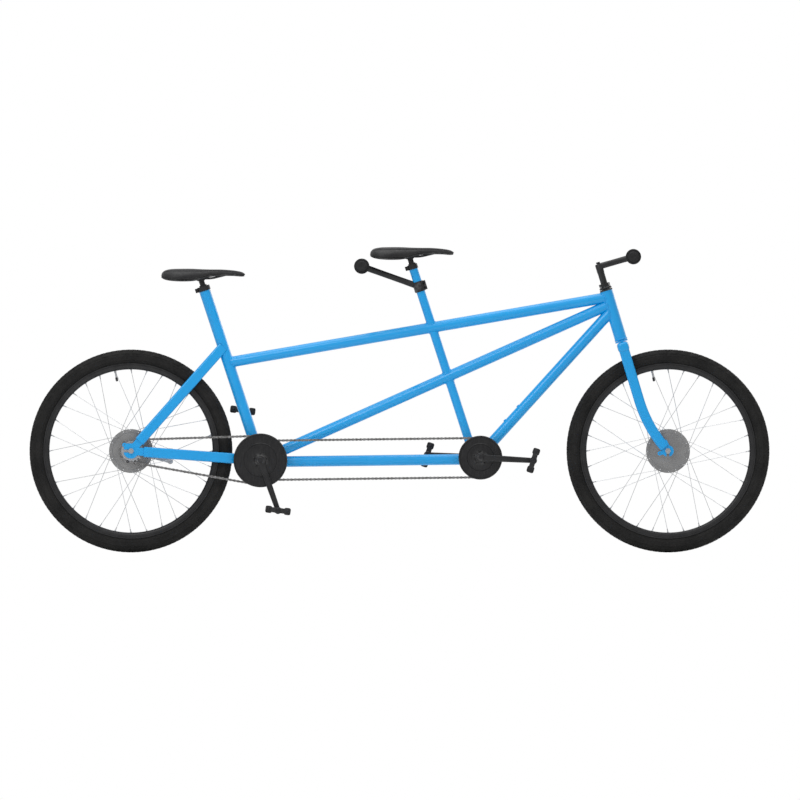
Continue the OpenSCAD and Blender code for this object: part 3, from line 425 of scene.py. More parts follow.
def black_alloy(name, edges):
    """Satin anodised alloy. On finely meshed pieces its edges are rubbed lighter."""
    s = Surface(name, BLACK, 0.38, specular=0.4)
    s.tint(s.noise(25, 4), BLACK, (0.017, 0.017, 0.018))
    if edges:
        s.worn((0.12, 0.12, 0.125))
    s.rough(s.noise(90, 5), 0.30, 0.48)
    return s.bump(s.noise(1600, 3), 0.08, 0.0001).material


def black_steel(name, edges):
    """Gloss black steel of the discs, rings and headset, finely scuffed."""
    s = Surface(name, BLACK, 0.30, coat=0.15, coat_roughness=0.08, specular=0.3)
    s.tint(s.noise(300, 3, s.mapped((1, 1, 0.15))), BLACK, (0.015, 0.015, 0.016), 0.4, 0.75)
    if edges:
        s.worn((0.14, 0.14, 0.14))
    s.rough(s.noise(40, 6), 0.22, 0.42)
    return s.bump(s.noise(700, 3), 0.05, 0.0001).material


def rim_black(centre, name):
    """Anodised rim with fine turning marks."""
    s = Surface(name, BLACK, 0.34, specular=0.4)
    s.tint(s.noise(35, 4), BLACK, (0.017, 0.017, 0.018)).rough(s.noise(120, 4), 0.28, 0.44)
    return s.bump(s.rings(centre, 900), 0.10, 0.00008).material


def tyre_rubber():
    """Moulded rubber, dusty in the grain."""
    s = Surface("tyre_rubber", (0.009, 0.009, 0.009), 0.78, specular=0.25)
    s.tint(s.noise(18, 6), (0.007, 0.007, 0.007), (0.016, 0.0155, 0.015))
    s.tint(s.noise(900, 2), (0, 0, 0), (0.030, 0.029, 0.028), 0.62, 0.80)
    s.rough(s.noise(150, 4), 0.68, 0.88)
    return s.bump(s.noise(900, 4), 0.25, 0.0003).bump(s.cells(1800), 0.12, 0.0002).material


def grip_rubber():
    """Soft dark rubber with a fine moulded stipple."""
    s = Surface("grip_rubber", (0.010, 0.010, 0.011), 0.66, specular=0.3)
    s.tint(s.noise(60, 5), (0.008, 0.008, 0.009), (0.018, 0.018, 0.019))
    s.rough(s.noise(220, 4), 0.56, 0.76)
    return s.bump(s.cells(1300), 0.22, 0.0003).material


def pedal_plastic():
    """Glass-filled black plastic and rubber of the pedals."""
    s = Surface("pedal_black", (0.011, 0.011, 0.012), 0.55, specular=0.35)
    s.tint(s.noise(80, 5), (0.009, 0.009, 0.010), (0.020, 0.020, 0.021)).worn((0.06, 0.06, 0.06))
    s.rough(s.noise(260, 4), 0.45, 0.68)
    return s.bump(s.noise(1100, 4), 0.18, 0.0003).material


def hub_grey(centre, name):
    """Turned grey alloy with concentric tool marks."""
    s = Surface(name, (0.245, 0.245, 0.247), 0.42, metallic=0.55)
    s.tint(s.noise(26, 5), (0.220, 0.220, 0.223), (0.270, 0.270, 0.270))
    s.rough(s.noise(200, 4), 0.36, 0.52)
    return s.bump(s.rings(centre, 700), 0.16, 0.00012).bump(s.noise(900, 3), 0.05, 0.0001).material


def bare_steel(name, colour, low, high):
    """Plated steel with fine brushing and faint stains."""
    s = Surface(name, colour, (low + high) / 2, metallic=1.0)
    dim = tuple(c * 0.82 for c in colour)
    s.tint(s.noise(45, 5), dim, colour).rough(s.noise(160, 5), low, high)
    return s.bump(s.noise(500, 4, s.mapped((1, 0.08, 1))), 0.08, 0.0001).material


def chain_steel():
    """Oiled chain, darker where the oil has gathered."""
    s = Surface("chain_steel", (0.27, 0.27, 0.275), 0.34, metallic=0.9)
    s.tint(s.noise(160, 5), (0.10, 0.095, 0.09), (0.33, 0.33, 0.335)).rough(s.noise(300, 4), 0.24, 0.50)
    return s.bump(s.noise(900, 3), 0.08, 0.0001).material


def saddle_leather():
    """Black saddle cover with pebbled grain, fine creases and a soft sheen."""
    s = Surface("saddle_cover", (0.012, 0.012, 0.013), 0.5, specular=0.35)
    s.shader.inputs["Sheen Weight"].default_value = 0.05
    s.shader.inputs["Sheen Roughness"].default_value = 0.4
    s.tint(s.noise(30, 5), (0.009, 0.009, 0.010), (0.018, 0.018, 0.019))
    s.rough(s.noise(120, 5), 0.40, 0.62)
    s.bump(s.cells(620, "SMOOTH_F1"), 0.40, 0.0005).bump(s.noise(1900, 3), 0.15, 0.0002)
    return s.bump(s.noise(70, 3, distortion=1.5), 0.10, 0.0012).material


def thread_black():
    """Waxed stitching thread with its twist."""
    s = Surface("stitch_thread", (0.045, 0.045, 0.048), 0.7)
    s.tint(s.noise(900, 2), (0.035, 0.035, 0.037), (0.075, 0.075, 0.078))
    return s.bump(s.noise(2500, 2), 0.3, 0.0002).material


PAINT = frame_paint()
ALLOY = black_alloy("black_alloy", True)
EVEN_ALLOY = black_alloy("black_alloy_even", False)
GLOSS = black_steel("black_steel", True)
EVEN_GLOSS = black_steel("black_steel_even", False)
FRONT_RIM = rim_black(FRONT_HUB, "front_rim_black")
REAR_RIM = rim_black(REAR_HUB, "rear_rim_black")
RUBBER = tyre_rubber()
GRIP = grip_rubber()
PEDAL = pedal_plastic()
FRONT_GREY = hub_grey(FRONT_HUB, "front_hub_grey")
REAR_GREY = hub_grey(REAR_HUB, "rear_hub_grey")
STEEL = bare_steel("steel", (0.50, 0.51, 0.53), 0.22, 0.40)
SPOKE = bare_steel("spoke_steel", (0.66, 0.67, 0.69), 0.14, 0.28)
OXIDE = bare_steel("black_oxide", (0.045, 0.045, 0.048), 0.30, 0.50)
ECCENTRIC = bare_steel("eccentric_alloy", (0.58, 0.59, 0.61), 0.25, 0.42)
CHAIN = chain_steel()
LEATHER = saddle_leather()
THREAD = thread_black()

SURFACE_OF_SLOT = {
    "frame_paint": PAINT, "black_alloy": EVEN_ALLOY, "rim_black": FRONT_RIM, "tyre": RUBBER,
    "hub_grey": FRONT_GREY, "steel": STEEL, "spoke_steel": SPOKE, "chain_steel": CHAIN,
    "eccentric_alloy": ECCENTRIC, "black_steel": EVEN_GLOSS, "grip_rubber": GRIP,
    "pedal_black": PEDAL, "saddle_cover": LEATHER,
}

OWN_SURFACE = {"front_crank_axles": OXIDE, "rear_crank_axles": OXIDE, "rear_rim": REAR_RIM,
               "rear_hub": REAR_GREY, "stem_wedge": OXIDE, "fork_steerer": PAINT}


def dress_cad_nodes():
    for name, node in frame["nodes"].items():
        surface = OWN_SURFACE.get(name) or SURFACE_OF_SLOT[SLOT_OF[name]]
        node.data.materials.clear()
        node.data.materials.append(surface)


# ---------------------------------------------------------------- wheels

WHEELS = (
    ("front", FRONT_HUB, "front_wheel", FRONT_RIM, FRONT_GREY, 0.020, 0.008),
    ("rear", REAR_HUB, "rear_wheel", REAR_RIM, REAR_GREY, 0.030, 0.004),
)
TREAD = 0.0016
TREAD_STEPS = 720
VALVE_TURN = radians(101.25)


def tread_depth(step, angle):
    """How far the tyre lies below its outline: grooves between tread blocks."""
    off = abs(angle)
    if off > 63:
        rib = 0.0006 if any(abs(off - line) < 2.5 for line in (78, 112)) else 0.0
        return TREAD - rib
    if 8.5 < off < 11.5 or 33.5 < off < 36.5:
        return TREAD
    if off <= 8.5:
        return 0.0006 if step % 6 == 0 else 0.0
    shift = round(off / 7) if off < 34 else 6 - round(off / 12)
    return TREAD if (step + shift) % 12 < 3 else 0.0


def tyre(name, at, body):
    half = [0, 4, 8, 9, 11, 12, 18, 26, 33, 34, 36, 37, 46, 56, 62, 64, 70, 75.5, 77, 79, 80.5,
            92, 104, 109.5, 111, 113, 114.5, 122, 130, 138, 144, 152]
    angles = [-a for a in reversed(half[1:])] + half
    mid = WHEEL_R - TYRE_R
    verts = []
    for i in range(TREAD_STEPS):
        turn = 2 * pi * i / TREAD_STEPS
        for angle in angles:
            r = TYRE_R - tread_depth(i, angle)
            out = mid + r * cos(radians(angle))
            verts.append(at + Vector((out * cos(turn), r * sin(radians(angle)), out * sin(turn))))
    shell = Shell().add((verts, grid_faces(TREAD_STEPS, len(angles), True, True)))
    build(f"{name}_tyre_tread", shell, body, RUBBER, (f"{name}_tyre",), sharp=50)


def rim(name, at, body, surface):
    side = [(RIM_IN, 0.0075), (RIM_IN + 0.0012, 0.0100), (RIM_IN + 0.0050, RIM_HALF - 0.0012),
            (RIM_IN + 0.0075, RIM_HALF), (RIM_OUT - 0.0060, RIM_HALF),
            (RIM_OUT - 0.0056, RIM_HALF - 0.0004), (RIM_OUT - 0.0052, RIM_HALF),
            (RIM_OUT - 0.0010, RIM_HALF), (RIM_OUT, RIM_HALF - 0.0008), (RIM_OUT, RIM_HALF - 0.0022),
            (RIM_OUT - 0.0014, RIM_HALF - 0.0030), (RIM_IN + 0.0100, RIM_HALF - 0.0034),
            (RIM_IN + 0.0082, RIM_HALF - 0.0060)]
    profile = side + [(r, -y) for r, y in reversed(side)]
    build(f"{name}_rim_hoop", Shell().add(turned(profile, at, steps=256)), body, surface,
          (f"{name}_rim",))


def wheel_point(at, r, turn, y):
    return at + Vector((r * cos(turn), y, r * sin(turn)))


def spoke_runs(at, flange_y):
    """For each spoke: its hole in the flange, its elbow and its end at the rim."""
    each_side = SPOKES // 2
    step = 2 * pi / each_side
    for s in (-1, 1):
        for i in range(each_side):
            lead = 1 if i % 2 == 0 else -1
            hub_turn = i * step + (step / 2 if s > 0 else 0)
            rim_turn = hub_turn + lead * 2 * step
            face = FLANGE_T / 2 + SPOKE_R + 0.0003
            head = wheel_point(at, SPOKE_RING, hub_turn, s * (flange_y - lead * (FLANGE_T / 2 + 0.001)))
            elbow = wheel_point(at, SPOKE_RING, hub_turn, s * (flange_y + lead * face))
            yield head, elbow, wheel_point(at, RIM_IN, rim_turn, s * 0.003)


def spokes(name, at, body, flange_y):
    wires, fittings = Shell(), Shell()
    for head, elbow, end in spoke_runs(at, flange_y):
        path = round_corners([head, elbow, end], 0.0022, 5)
        away = (head - elbow).normalized().cross((end - elbow).normalized())
        wires.add(swept(path, oval(SPOKE_R, SPOKE_R, 10), away))
        inward = (elbow - head).normalized()
        wires.add(turned(dome_profile(0.0019, 0.0, 0.0011, 4), head, -inward, 12))
        along = (elbow - end).normalized()
        fittings.add(turned(
            [(0, -0.002), (0.0021, -0.002), (0.0021, 0.004), (0.0017, 0.0052), (0.0016, 0.0118),
             (0.0012, 0.0126), (0, 0.0126)], end, along, 12))
        outward = (end - at)
        outward.y = 0
        fittings.add(turned(
            [(0.0021, -0.0004), (0.0037, -0.0004), (0.0037, 0.0005), (0.0030, 0.0012), (0.0021, 0.0012)],
            end, -outward.normalized(), 16))
    build(f"{name}_spoke_wires", wires, body, SPOKE, (f"{name}_spokes",))
    build(f"{name}_nipples", fittings, body, STEEL, ())


def hub(name, at, body, surface, barrel, inset):
    """Hub shell: two large dished flanges on a barrel, with dust caps."""
    half = extent(f"{name}_hub").y / 2
    bore = 0.0091
    y = half - inset
    out, back = y + FLANGE_T / 2, y - FLANGE_T / 2
    lip, dish = 0.0009, 0.0007
    end = [(bore, half), (barrel * 0.62, half), (barrel * 0.62 + 0.001, half - 0.001)]
    face = [(barrel * 0.70, out + 0.0004), (barrel * 0.70 + 0.002, out - dish),
            (FLANGE_R - 0.0125, out - dish), (FLANGE_R - 0.0115, out), (FLANGE_R - lip, out),
            (FLANGE_R, out - lip), (FLANGE_R, back + lip), (FLANGE_R - lip, back),
            (barrel + 0.006, back), (barrel + 0.0015, back - 0.0015), (barrel, back - 0.006)]
    waist = [(barrel * 0.94, y * 0.35), (barrel * 0.94, 0.0)]
    side = end + face + waist
    profile = side + [(r, -t) for r, t in reversed(side[:-1])]
    build(f"{name}_hub_shell", Shell().add(turned(profile, at, steps=160)), body, surface,
          (f"{name}_hub",))
    trim = Shell()
    for s in (-1, 1):
        cap = [(bore, half - 0.001), (barrel * 0.5, half - 0.001), (barrel * 0.5, half + 0.0004),
               (barrel * 0.5 - 0.0012, half + 0.0012), (bore, half + 0.0012)]
        trim.add(turned([(r, s * t) for r, t in cap], at, steps=48))
    build(f"{name}_dust_caps", trim, body, STEEL, ())
    return y


def valve(name, at, body):
    """A tyre valve through the rim, with its lock ring and cap."""
    inward = -Vector((cos(VALVE_TURN), 0, sin(VALVE_TURN)))
    foot = wheel_point(at, RIM_IN + 0.004, VALVE_TURN, 0)
    stem = Shell().add(turned(
        [(0, -0.004), (0.0031, -0.004), (0.0031, 0.006), (0.0046, 0.006), (0.0046, 0.0085),
         (0.0030, 0.0092), (0.0030, 0.026), (0, 0.026)], foot, inward, 20))
    cap = Shell().add(turned(
        [(0, 0.0255), (0.0039, 0.0255), (0.0042, 0.0265), (0.0042, 0.036), (0.0032, 0.0385),
         (0, 0.0385)], foot, inward, 20))
    build(f"{name}_valve_stem", stem, body, STEEL, ())
    build(f"{name}_valve_cap", cap, body, PEDAL, ())


def wheels():
    for name, at, body, rim_surface, grey, barrel, inset in WHEELS:
        tyre(name, at, body)
        rim(name, at, body, rim_surface)
        spokes(name, at, body, hub(name, at, body, grey, barrel, inset))
        valve(name, at, body)


# ---------------------------------------------------------------- frame details

WELD_R = 0.0023
WELD_SIDES = 10


def weld(shell, foot, along, radius, other, other_axis, other_radius):
    """A bead where a round tube, run from foot along its axis, meets another."""
    along, other_axis = along.normalized(), other_axis.normalized()
    n1 = along.orthogonal().normalized()
    n2 = along.cross(n1)
    flat = along - other_axis * along.dot(other_axis)
    path = []
    steps = 120
    for i in range(steps):
        turn = 2 * pi * i / steps
        start = foot + n1 * (radius * cos(turn)) + n2 * (radius * sin(turn)) - other
        start_flat = start - other_axis * start.dot(other_axis)
        a, b = flat.dot(flat), start_flat.dot(flat)
        c = start_flat.dot(start_flat) - other_radius ** 2
        root = sqrt(max(b * b - a * c, 0.0))
        path.append(other + start + along * ((-b - root) / a))
    centre = sum(path, Vector()) / steps
    verts = []
    for i, point in enumerate(path):
        ahead = (path[(i + 1) % steps] - path[i - 1]).normalized()
        out = point - centre
        u = (out - ahead * out.dot(ahead)).normalized()
        v = ahead.cross(u)
        size = WELD_R * (1 + 0.10 * sin(i * pi / 1.5))
        verts += [point + u * a + v * b for a, b in oval(size, size, WELD_SIDES)]
    shell.add((verts, grid_faces(steps, WELD_SIDES, True, True)))


def frame_lines():
    """Centre lines of the frame's round tubes: (point, direction)."""
    top_rear = REAR_BB + REAR_SEAT_UP * TOP_TUBE_UP
    at_head = [HEAD_TOP - STEER_UP * down for down in TUBE_JOINTS_DOWN]
    boom = Vector((0, 0, -BOOM_DROP))
    return {
        "top": (top_rear, at_head[0] - top_rear),
        "lateral": (REAR_BB, at_head[1] - REAR_BB),
        "down": (FRONT_SHELL_AT, at_head[2] - FRONT_SHELL_AT),
        "boom": (REAR_BB + boom, FRONT_SHELL_AT - REAR_BB),
    }


def welds():
    lines = frame_lines()
    shell = Shell()
    for name in ("top", "lateral", "down"):
        start, run = lines[name]
        weld(shell, start, run, TUBE_R, STEER_AT, STEER_UP, HEAD_R)
    top, top_run = lines["top"]
    weld(shell, top + top_run * 0.5, -top_run, TUBE_R, REAR_BB, REAR_SEAT_UP, REAR_SEAT_R)
    down, down_run = lines["down"]
    weld(shell, down + down_run * 0.5, -down_run, TUBE_R, FRONT_SHELL_AT, ACROSS, FRONT_SHELL_R)
    boom, boom_run = lines["boom"]
    weld(shell, boom, boom_run, TUBE_R, FRONT_SHELL_AT, ACROSS, FRONT_SHELL_R)
    weld(shell, boom + boom_run * 0.5, -boom_run, TUBE_R, REAR_BB, ACROSS, SHELL_R)
    weld(shell, SEAT_TOPS["front"], -FRONT_SEAT_UP, FRONT_SEAT_R, FRONT_SHELL_AT, ACROSS, FRONT_SHELL_R)
    for name in ("top", "lateral"):
        start, run = lines[name]
        weld(shell, SEAT_TOPS["front"], -FRONT_SEAT_UP, FRONT_SEAT_R, start, run, TUBE_R)
        weld(shell, FRONT_SEAT_FOOT, FRONT_SEAT_UP, FRONT_SEAT_R, start, run, TUBE_R)
    build("weld_beads", shell, "frame", PAINT, (), sharp=60)


# ---------------------------------------------------------------- steering

STEM_RISE = radians(16)
STOKER_CLAMP_DOWN = 0.077


def headset():
    """Cups on the frame; race, washer and locknut on the fork."""
    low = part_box("head_tube")[0]
    head_low = height_on(STEER_AT, STEER_UP, low.z + HEAD_R * sqrt(1 - STEER_UP.z ** 2))
    steerer = extent("fork_steerer").y / 2
    bore = HEADSET_BORE
    cups = Shell()
    cups.add(turned([(bore, 0.0), (HEAD_R, 0.0), (HEAD_R + 0.0015, 0.0012), (HEAD_R + 0.0015, 0.0040),
                     (HEAD_R - 0.0005, 0.0058), (bore, 0.0058)], HEAD_TOP, STEER_UP, 64))
    build("headset_upper_cup", cups, "frame", GLOSS, ("headset_cups",))
    lower = Shell().add(turned(
        [(bore, 0.0), (HEAD_R, 0.0), (HEAD_R + 0.0013, 0.0012), (HEAD_R + 0.0013, 0.0042),
         (HEAD_R - 0.0008, 0.0058), (bore, 0.0058)], head_low, -STEER_UP, 64))
    build("headset_lower_cup", lower, "frame", PAINT, ())
    crown(head_low - STEER_UP * 0.012)
    tops = Shell()
    base = HEAD_TOP + STEER_UP * 0.0063
    tops.add(turned(
        [(steerer - 0.013, 0.0), (HEAD_R - 0.002, 0.0), (HEAD_R + 0.0005, 0.0016), (HEAD_R + 0.0005, 0.0046),
         (HEAD_R - 0.0015, 0.0070), (HEAD_R - 0.004, 0.0078), (bore - 0.0014, 0.0078)], base, STEER_UP, 64))
    tops.add(turned(ring_profile(bore - 0.0014, 0.0180, 0.0082, 0.0098, 0.0003), base, STEER_UP, 64))
    nut_low, nut_high, nut_r = 0.0101, 0.0195, 0.0185
    tops.add(turned(
        [(bore - 0.0014, nut_low), (nut_r - 0.0006, nut_low), (nut_r, nut_low + 0.0006),
         (nut_r, nut_high - 0.0010), (nut_r - 0.0016, nut_high), (bore - 0.0014, nut_high)],
        base, STEER_UP, 8))
    build("headset_race_and_locknut", tops, "fork", GLOSS, ("headset_locknuts",), bevel=0.0004)


def crown(top):
    """The fork's shoulder: a rounded bridge that narrows into the blades."""
    low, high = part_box("fork_crown")
    half = (high.y - low.y) / 2
    tall = 0.034
    ahead = Vector((STEER_UP.z, 0, -STEER_UP.x))
    path, sections = [], []
    steps = 32
    for i in range(steps + 1):
        y = half * sin(pi * (i / steps - 0.5))
        t = abs(y) / half
        edge = sqrt(max(0.0, 1 - max(0.0, (t - 0.86) / 0.14) ** 2))
        a = (0.0196 - 0.0020 * t ** 2) * (0.55 + 0.45 * edge)
        b = (tall / 2 - 0.0015 * t ** 2) * (0.55 + 0.45 * edge)
        path.append(top - STEER_UP * (tall / 2 + 0.0015 * t ** 2) + ACROSS * y)
        sections.append(oval(a, b, 40, 3.4))
    build("fork_shoulder", Shell().add(swept(path, sections, ahead)), "fork", PAINT,
          ("fork_crown",))


def stem_arm(shell, start, end, half_w, half_h):
    """A forged extension that waists between its ends."""
    path, sections = [], []
    steps = 24
    for i in range(steps + 1):
        t = i / steps
        path.append(start.lerp(end, t))
        wide = half_w * (1 - 0.14 * sin(pi * t)) * (1 + 0.25 * t ** 3)
        tall = half_h * (1 - 0.05 * sin(pi * t))
        sections.append(oval(wide, tall, 28, 2.3))
    shell.add(swept(path, sections, ACROSS))


def bar_clamp(shell, at, toward):
    """The split clamp round a bar, with its lip where the two halves meet."""
    wall, half = 0.0045, 0.021
    outer = BAR_R + wall
    shell.add(turned(ring_profile(BAR_R, outer, -half, half, 0.0016), at, ACROSS, 64))
    for y in (-0.0135, 0.0135):
        lip = ring_profile(BAR_R, outer + 0.0008, y - 0.0012, y + 0.0012, 0.0006)
        shell.add(turned(lip, at, ACROSS, 64))
    ear = at - toward * (outer + 0.0035) + Vector((0, 0, -0.0045))
    shell.add(swept([ear - ACROSS * 0.012, ear + ACROSS * 0.012], oval(0.0062, 0.0068, 24, 3.2), toward))


def socket_bolt(shell, at, along, radius=0.0042, height=0.004):
    """A cap screw with a hexagon socket."""
    shell.add(turned(
        [(radius * 0.5, height * 0.35), (radius * 0.5, height), (radius * 0.88, height),
         (radius, height * 0.86), (radius, 0.0), (0, 0.0), (0, height * 0.35)], at, along, 24))


def captain_stem():
    reach = CAPTAIN_BAR - height_on(STEER_AT, STEER_UP, CAPTAIN_BAR.z)
    rise = STEM_RISE
    length = reach.x / (cos(rise) - sin(rise) * STEER_UP.x / STEER_UP.z)
    corner = CAPTAIN_BAR - Vector((cos(rise), 0, sin(rise))) * length
    quill_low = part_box("quill_stem")[0].z
    foot = height_on(STEER_AT, STEER_UP, quill_low + 0.006)
    quill_r = 0.0111
    shell = Shell()
    tall = (corner - foot).length
    shell.add(turned(
        [(0.0, 0.0), (quill_r, 0.0), (quill_r, tall - 0.024), (quill_r + 0.0008, tall - 0.020),
         (quill_r + 0.0008, tall + 0.0050), (quill_r - 0.0006, tall + 0.0075),
         (quill_r - 0.0030, tall + 0.0085), (0.0056, tall + 0.0085), (0.0056, tall + 0.0060),
         (0.0, tall + 0.0060)], foot, STEER_UP, 48))
    stem_arm(shell, corner, CAPTAIN_BAR.lerp(corner, 0.09), 0.0106, 0.0105)
    toward = (corner - CAPTAIN_BAR).normalized()
    bar_clamp(shell, CAPTAIN_BAR, toward)
    build("captain_stem", shell, "stem", ALLOY, ("quill_stem",))
    bolts = Shell()
    under = CAPTAIN_BAR - Vector((0, 0, BAR_R + 0.0080))
    for s in (-1, 1):
        socket_bolt(bolts, under + ACROSS * (s * 0.0065), Vector((0, 0, -1)))
    build("captain_stem_bolts", bolts, "stem", OXIDE, ())


def stoker_stem():
    seat = SEAT_TOPS["front"] - FRONT_SEAT_UP * STOKER_CLAMP_DOWN
    toward = (seat - STOKER_BAR).normalized()
    shell = Shell()
    outer = FRONT_SEAT_R + 0.0042
    shell.add(turned(ring_profile(FRONT_SEAT_R, outer, -0.017, 0.017, 0.0018), seat, FRONT_SEAT_UP, 64))
    for up in (-0.0105, 0.0105):
        lip = ring_profile(FRONT_SEAT_R, outer + 0.0007, up - 0.0012, up + 0.0012, 0.0006)
        shell.add(turned(lip, seat, FRONT_SEAT_UP, 64))
    start = seat - toward * (FRONT_SEAT_R - 0.002)
    stem_arm(shell, start, STOKER_BAR + toward * 0.010, 0.0100, 0.0104)
    bar_clamp(shell, STOKER_BAR, toward)
    forward = Vector((FRONT_SEAT_UP.z, 0, -FRONT_SEAT_UP.x))
    ear = seat + forward * (outer + 0.0022)
    shell.add(swept([ear - FRONT_SEAT_UP * 0.0155, ear + FRONT_SEAT_UP * 0.0155],
                    oval(0.0085, 0.0042, 24, 3.5), ACROSS))
    build("stoker_stem_forging", shell, "frame", ALLOY, ("stoker_stem",))
    bolts = Shell()
    for up in (-0.009, 0.009):
        socket_bolt(bolts, ear + FRONT_SEAT_UP * up - ACROSS * 0.0083, -ACROSS, 0.0036, 0.0036)
        bolts.add(turned(rod_profile(0.0036, 0.0, 0.003, 0.0006),
                         ear + FRONT_SEAT_UP * up + ACROSS * 0.0083, ACROSS, 6))
    under = STOKER_BAR - Vector((0, 0, BAR_R + 0.0080))
    for s in (-1, 1):
        socket_bolt(bolts, under + ACROSS * (s * 0.0065), Vector((0, 0, -1)))
    build("stoker_stem_bolts", bolts, "frame", OXIDE, ())


def bar(name, at, body):
    """A straight hollow bar, knurled where its clamp holds it."""
    half = extent(f"{name}_handlebar").y / 2
    wall = 0.0016
    outer, inner = BAR_R - 0.0001, BAR_R - wall
    profile = [(inner, -half), (outer - 0.0004, -half), (outer, -half + 0.0004)]
    ridges = 46
    first, last = -0.034, 0.034
    step = (last - first) / ridges
    for i in range(ridges):
        y = first + i * step
        profile += [(outer - 0.0002, y), (outer, y + step * 0.5)]
    profile += [(outer, half - 0.0004), (outer - 0.0004, half), (inner, half)]
    build(f"{name}_bar_tube", Shell().add(turned(profile, at, ACROSS, 64)), body, ALLOY,
          (f"{name}_handlebar",))


def grips(name, at, body):
    """Ribbed rubber grips with a round flange inboard and a capped end."""
    outside = extent(f"{name}_grips").y / 2
    flange_r = extent(f"{name}_grips").z / 2
    inner = outside - 0.128
    shell = Shell()
    for s in (-1, 1):
        profile = [(BAR_R, inner), (flange_r - 0.0012, inner), (flange_r, inner + 0.0012),
                   (flange_r, inner + 0.0030), (flange_r - 0.0014, inner + 0.0044),
                   (BAR_R + 0.0065, inner + 0.0050), (BAR_R + 0.0046, inner + 0.0075)]
        ribs = 17
        first, last = inner + 0.010, outside - 0.016
        step = (last - first) / ribs
        for i in range(ribs):
            y = first + i * step
            swell = 0.0010 * sin(pi * (i + 0.5) / ribs)
            low, high = BAR_R + 0.0032 + swell, BAR_R + 0.0046 + swell
            profile += [(low, y), (high, y + step * 0.18), (high, y + step * 0.72), (low, y + step * 0.9)]
        profile += [(BAR_R + 0.0040, last + 0.002), (BAR_R + 0.0058, outside - 0.008),
                    (BAR_R + 0.0060, outside - 0.003), (BAR_R + 0.0044, outside - 0.0008),
                    (BAR_R + 0.0015, outside), (0.0075, outside), (0.0060, outside - 0.0008),
                    (0.0, outside - 0.0008), (0.0, outside - 0.003), (BAR_R, outside - 0.003)]
        shell.add(turned([(r, s * y) for r, y in profile], at, ACROSS, 72))
    build(f"{name}_rubber_grips", shell, body, GRIP, (f"{name}_grips",))


# ---------------------------------------------------------------- drive

PEDAL_TILT = {"front": radians(72), "rear": radians(-7)}


def pitch_radius(teeth):
    return PITCH / (2 * sin(pi / teeth))


def chain_points(a, teeth_a, b, teeth_b):
    """Roller centres in order round two sprockets: the CAD's own loop."""
    ra, rb = pitch_radius(teeth_a), pitch_radius(teeth_b)
    ax, az, bx, bz = a.x, a.z, b.x, b.z
    lean = atan2(bz - az, bx - ax)
    gap = hypot(bx - ax, bz - az)
    upper = lean + acos((ra - rb) / gap)
    half = upper - lean
    count_a = floor((2 * pi - 2 * half) / (2 * pi / teeth_a) + 1e-9)
    count_b = floor(2 * half / (2 * pi / teeth_b) + 1e-9)
    wrap_a = [(ax + ra * cos(upper + i * 2 * pi / teeth_a), az + ra * sin(upper + i * 2 * pi / teeth_a))
              for i in range(count_a + 1)]
    wrap_b = [(bx + rb * cos(upper - i * 2 * pi / teeth_b), bz + rb * sin(upper - i * 2 * pi / teeth_b))
              for i in range(count_b + 1)]

    def run(p, q):
        n = round(hypot(q[0] - p[0], q[1] - p[1]) / PITCH)
        return [(p[0] + (q[0] - p[0]) * i / n, p[1] + (q[1] - p[1]) * i / n) for i in range(1, n)]

    return list(reversed(wrap_a)) + run(wrap_a[0], wrap_b[0]) + wrap_b + run(wrap_b[-1], wrap_a[-1])


def link_outline(p, q, r):
    """A chain plate's outline: two round ends with a narrow waist."""
    lean = atan2(q[1] - p[1], q[0] - p[0])
    sweep = pi * 1.16
    end_q = circle_points(q[0], q[1], r, 9, lean - sweep / 2, sweep)
    end_p = circle_points(p[0], p[1], r, 9, lean + pi - sweep / 2, sweep)
    mx, mz = (p[0] + q[0]) / 2, (p[1] + q[1]) / 2
    nx, nz = -sin(lean) * r * 0.72, cos(lean) * r * 0.72
    return end_q + [(mx + nx, mz + nz)] + end_p + [(mx - nx, mz - nz)]


def chain(name, node, a, teeth_a, b, teeth_b, y):
    points = chain_points(a, teeth_a, b, teeth_b)
    plates, pins = Shell(), Shell()
    count = len(points)
    for i, p in enumerate(points):
        q = points[(i + 1) % count]
        wide = i % 2 == 0
        low, high = (0.0029, 0.0036) if wide else (0.0020, 0.0028)
        outline = link_outline(p, q, 0.0042 if wide else 0.0040)
        for s in (-1, 1):
            faces = sorted((y + s * low, y + s * high))
            plates.add(plate(outline, [], *faces))
        at = Vector((p[0], y, p[1]))
        pins.add(turned(ring_profile(0.0018, 0.0038, -0.0019, 0.0019, 0.0003), at, ACROSS, 16))
        pins.add(turned(rod_profile(0.0018, -0.0040, 0.0040, 0.0004), at, ACROSS, 12))
    build(f"{name}_links", plates, "frame", CHAIN, (node,), sharp=25)
    build(f"{name}_rollers", pins, "frame", CHAIN, (), sharp=25)


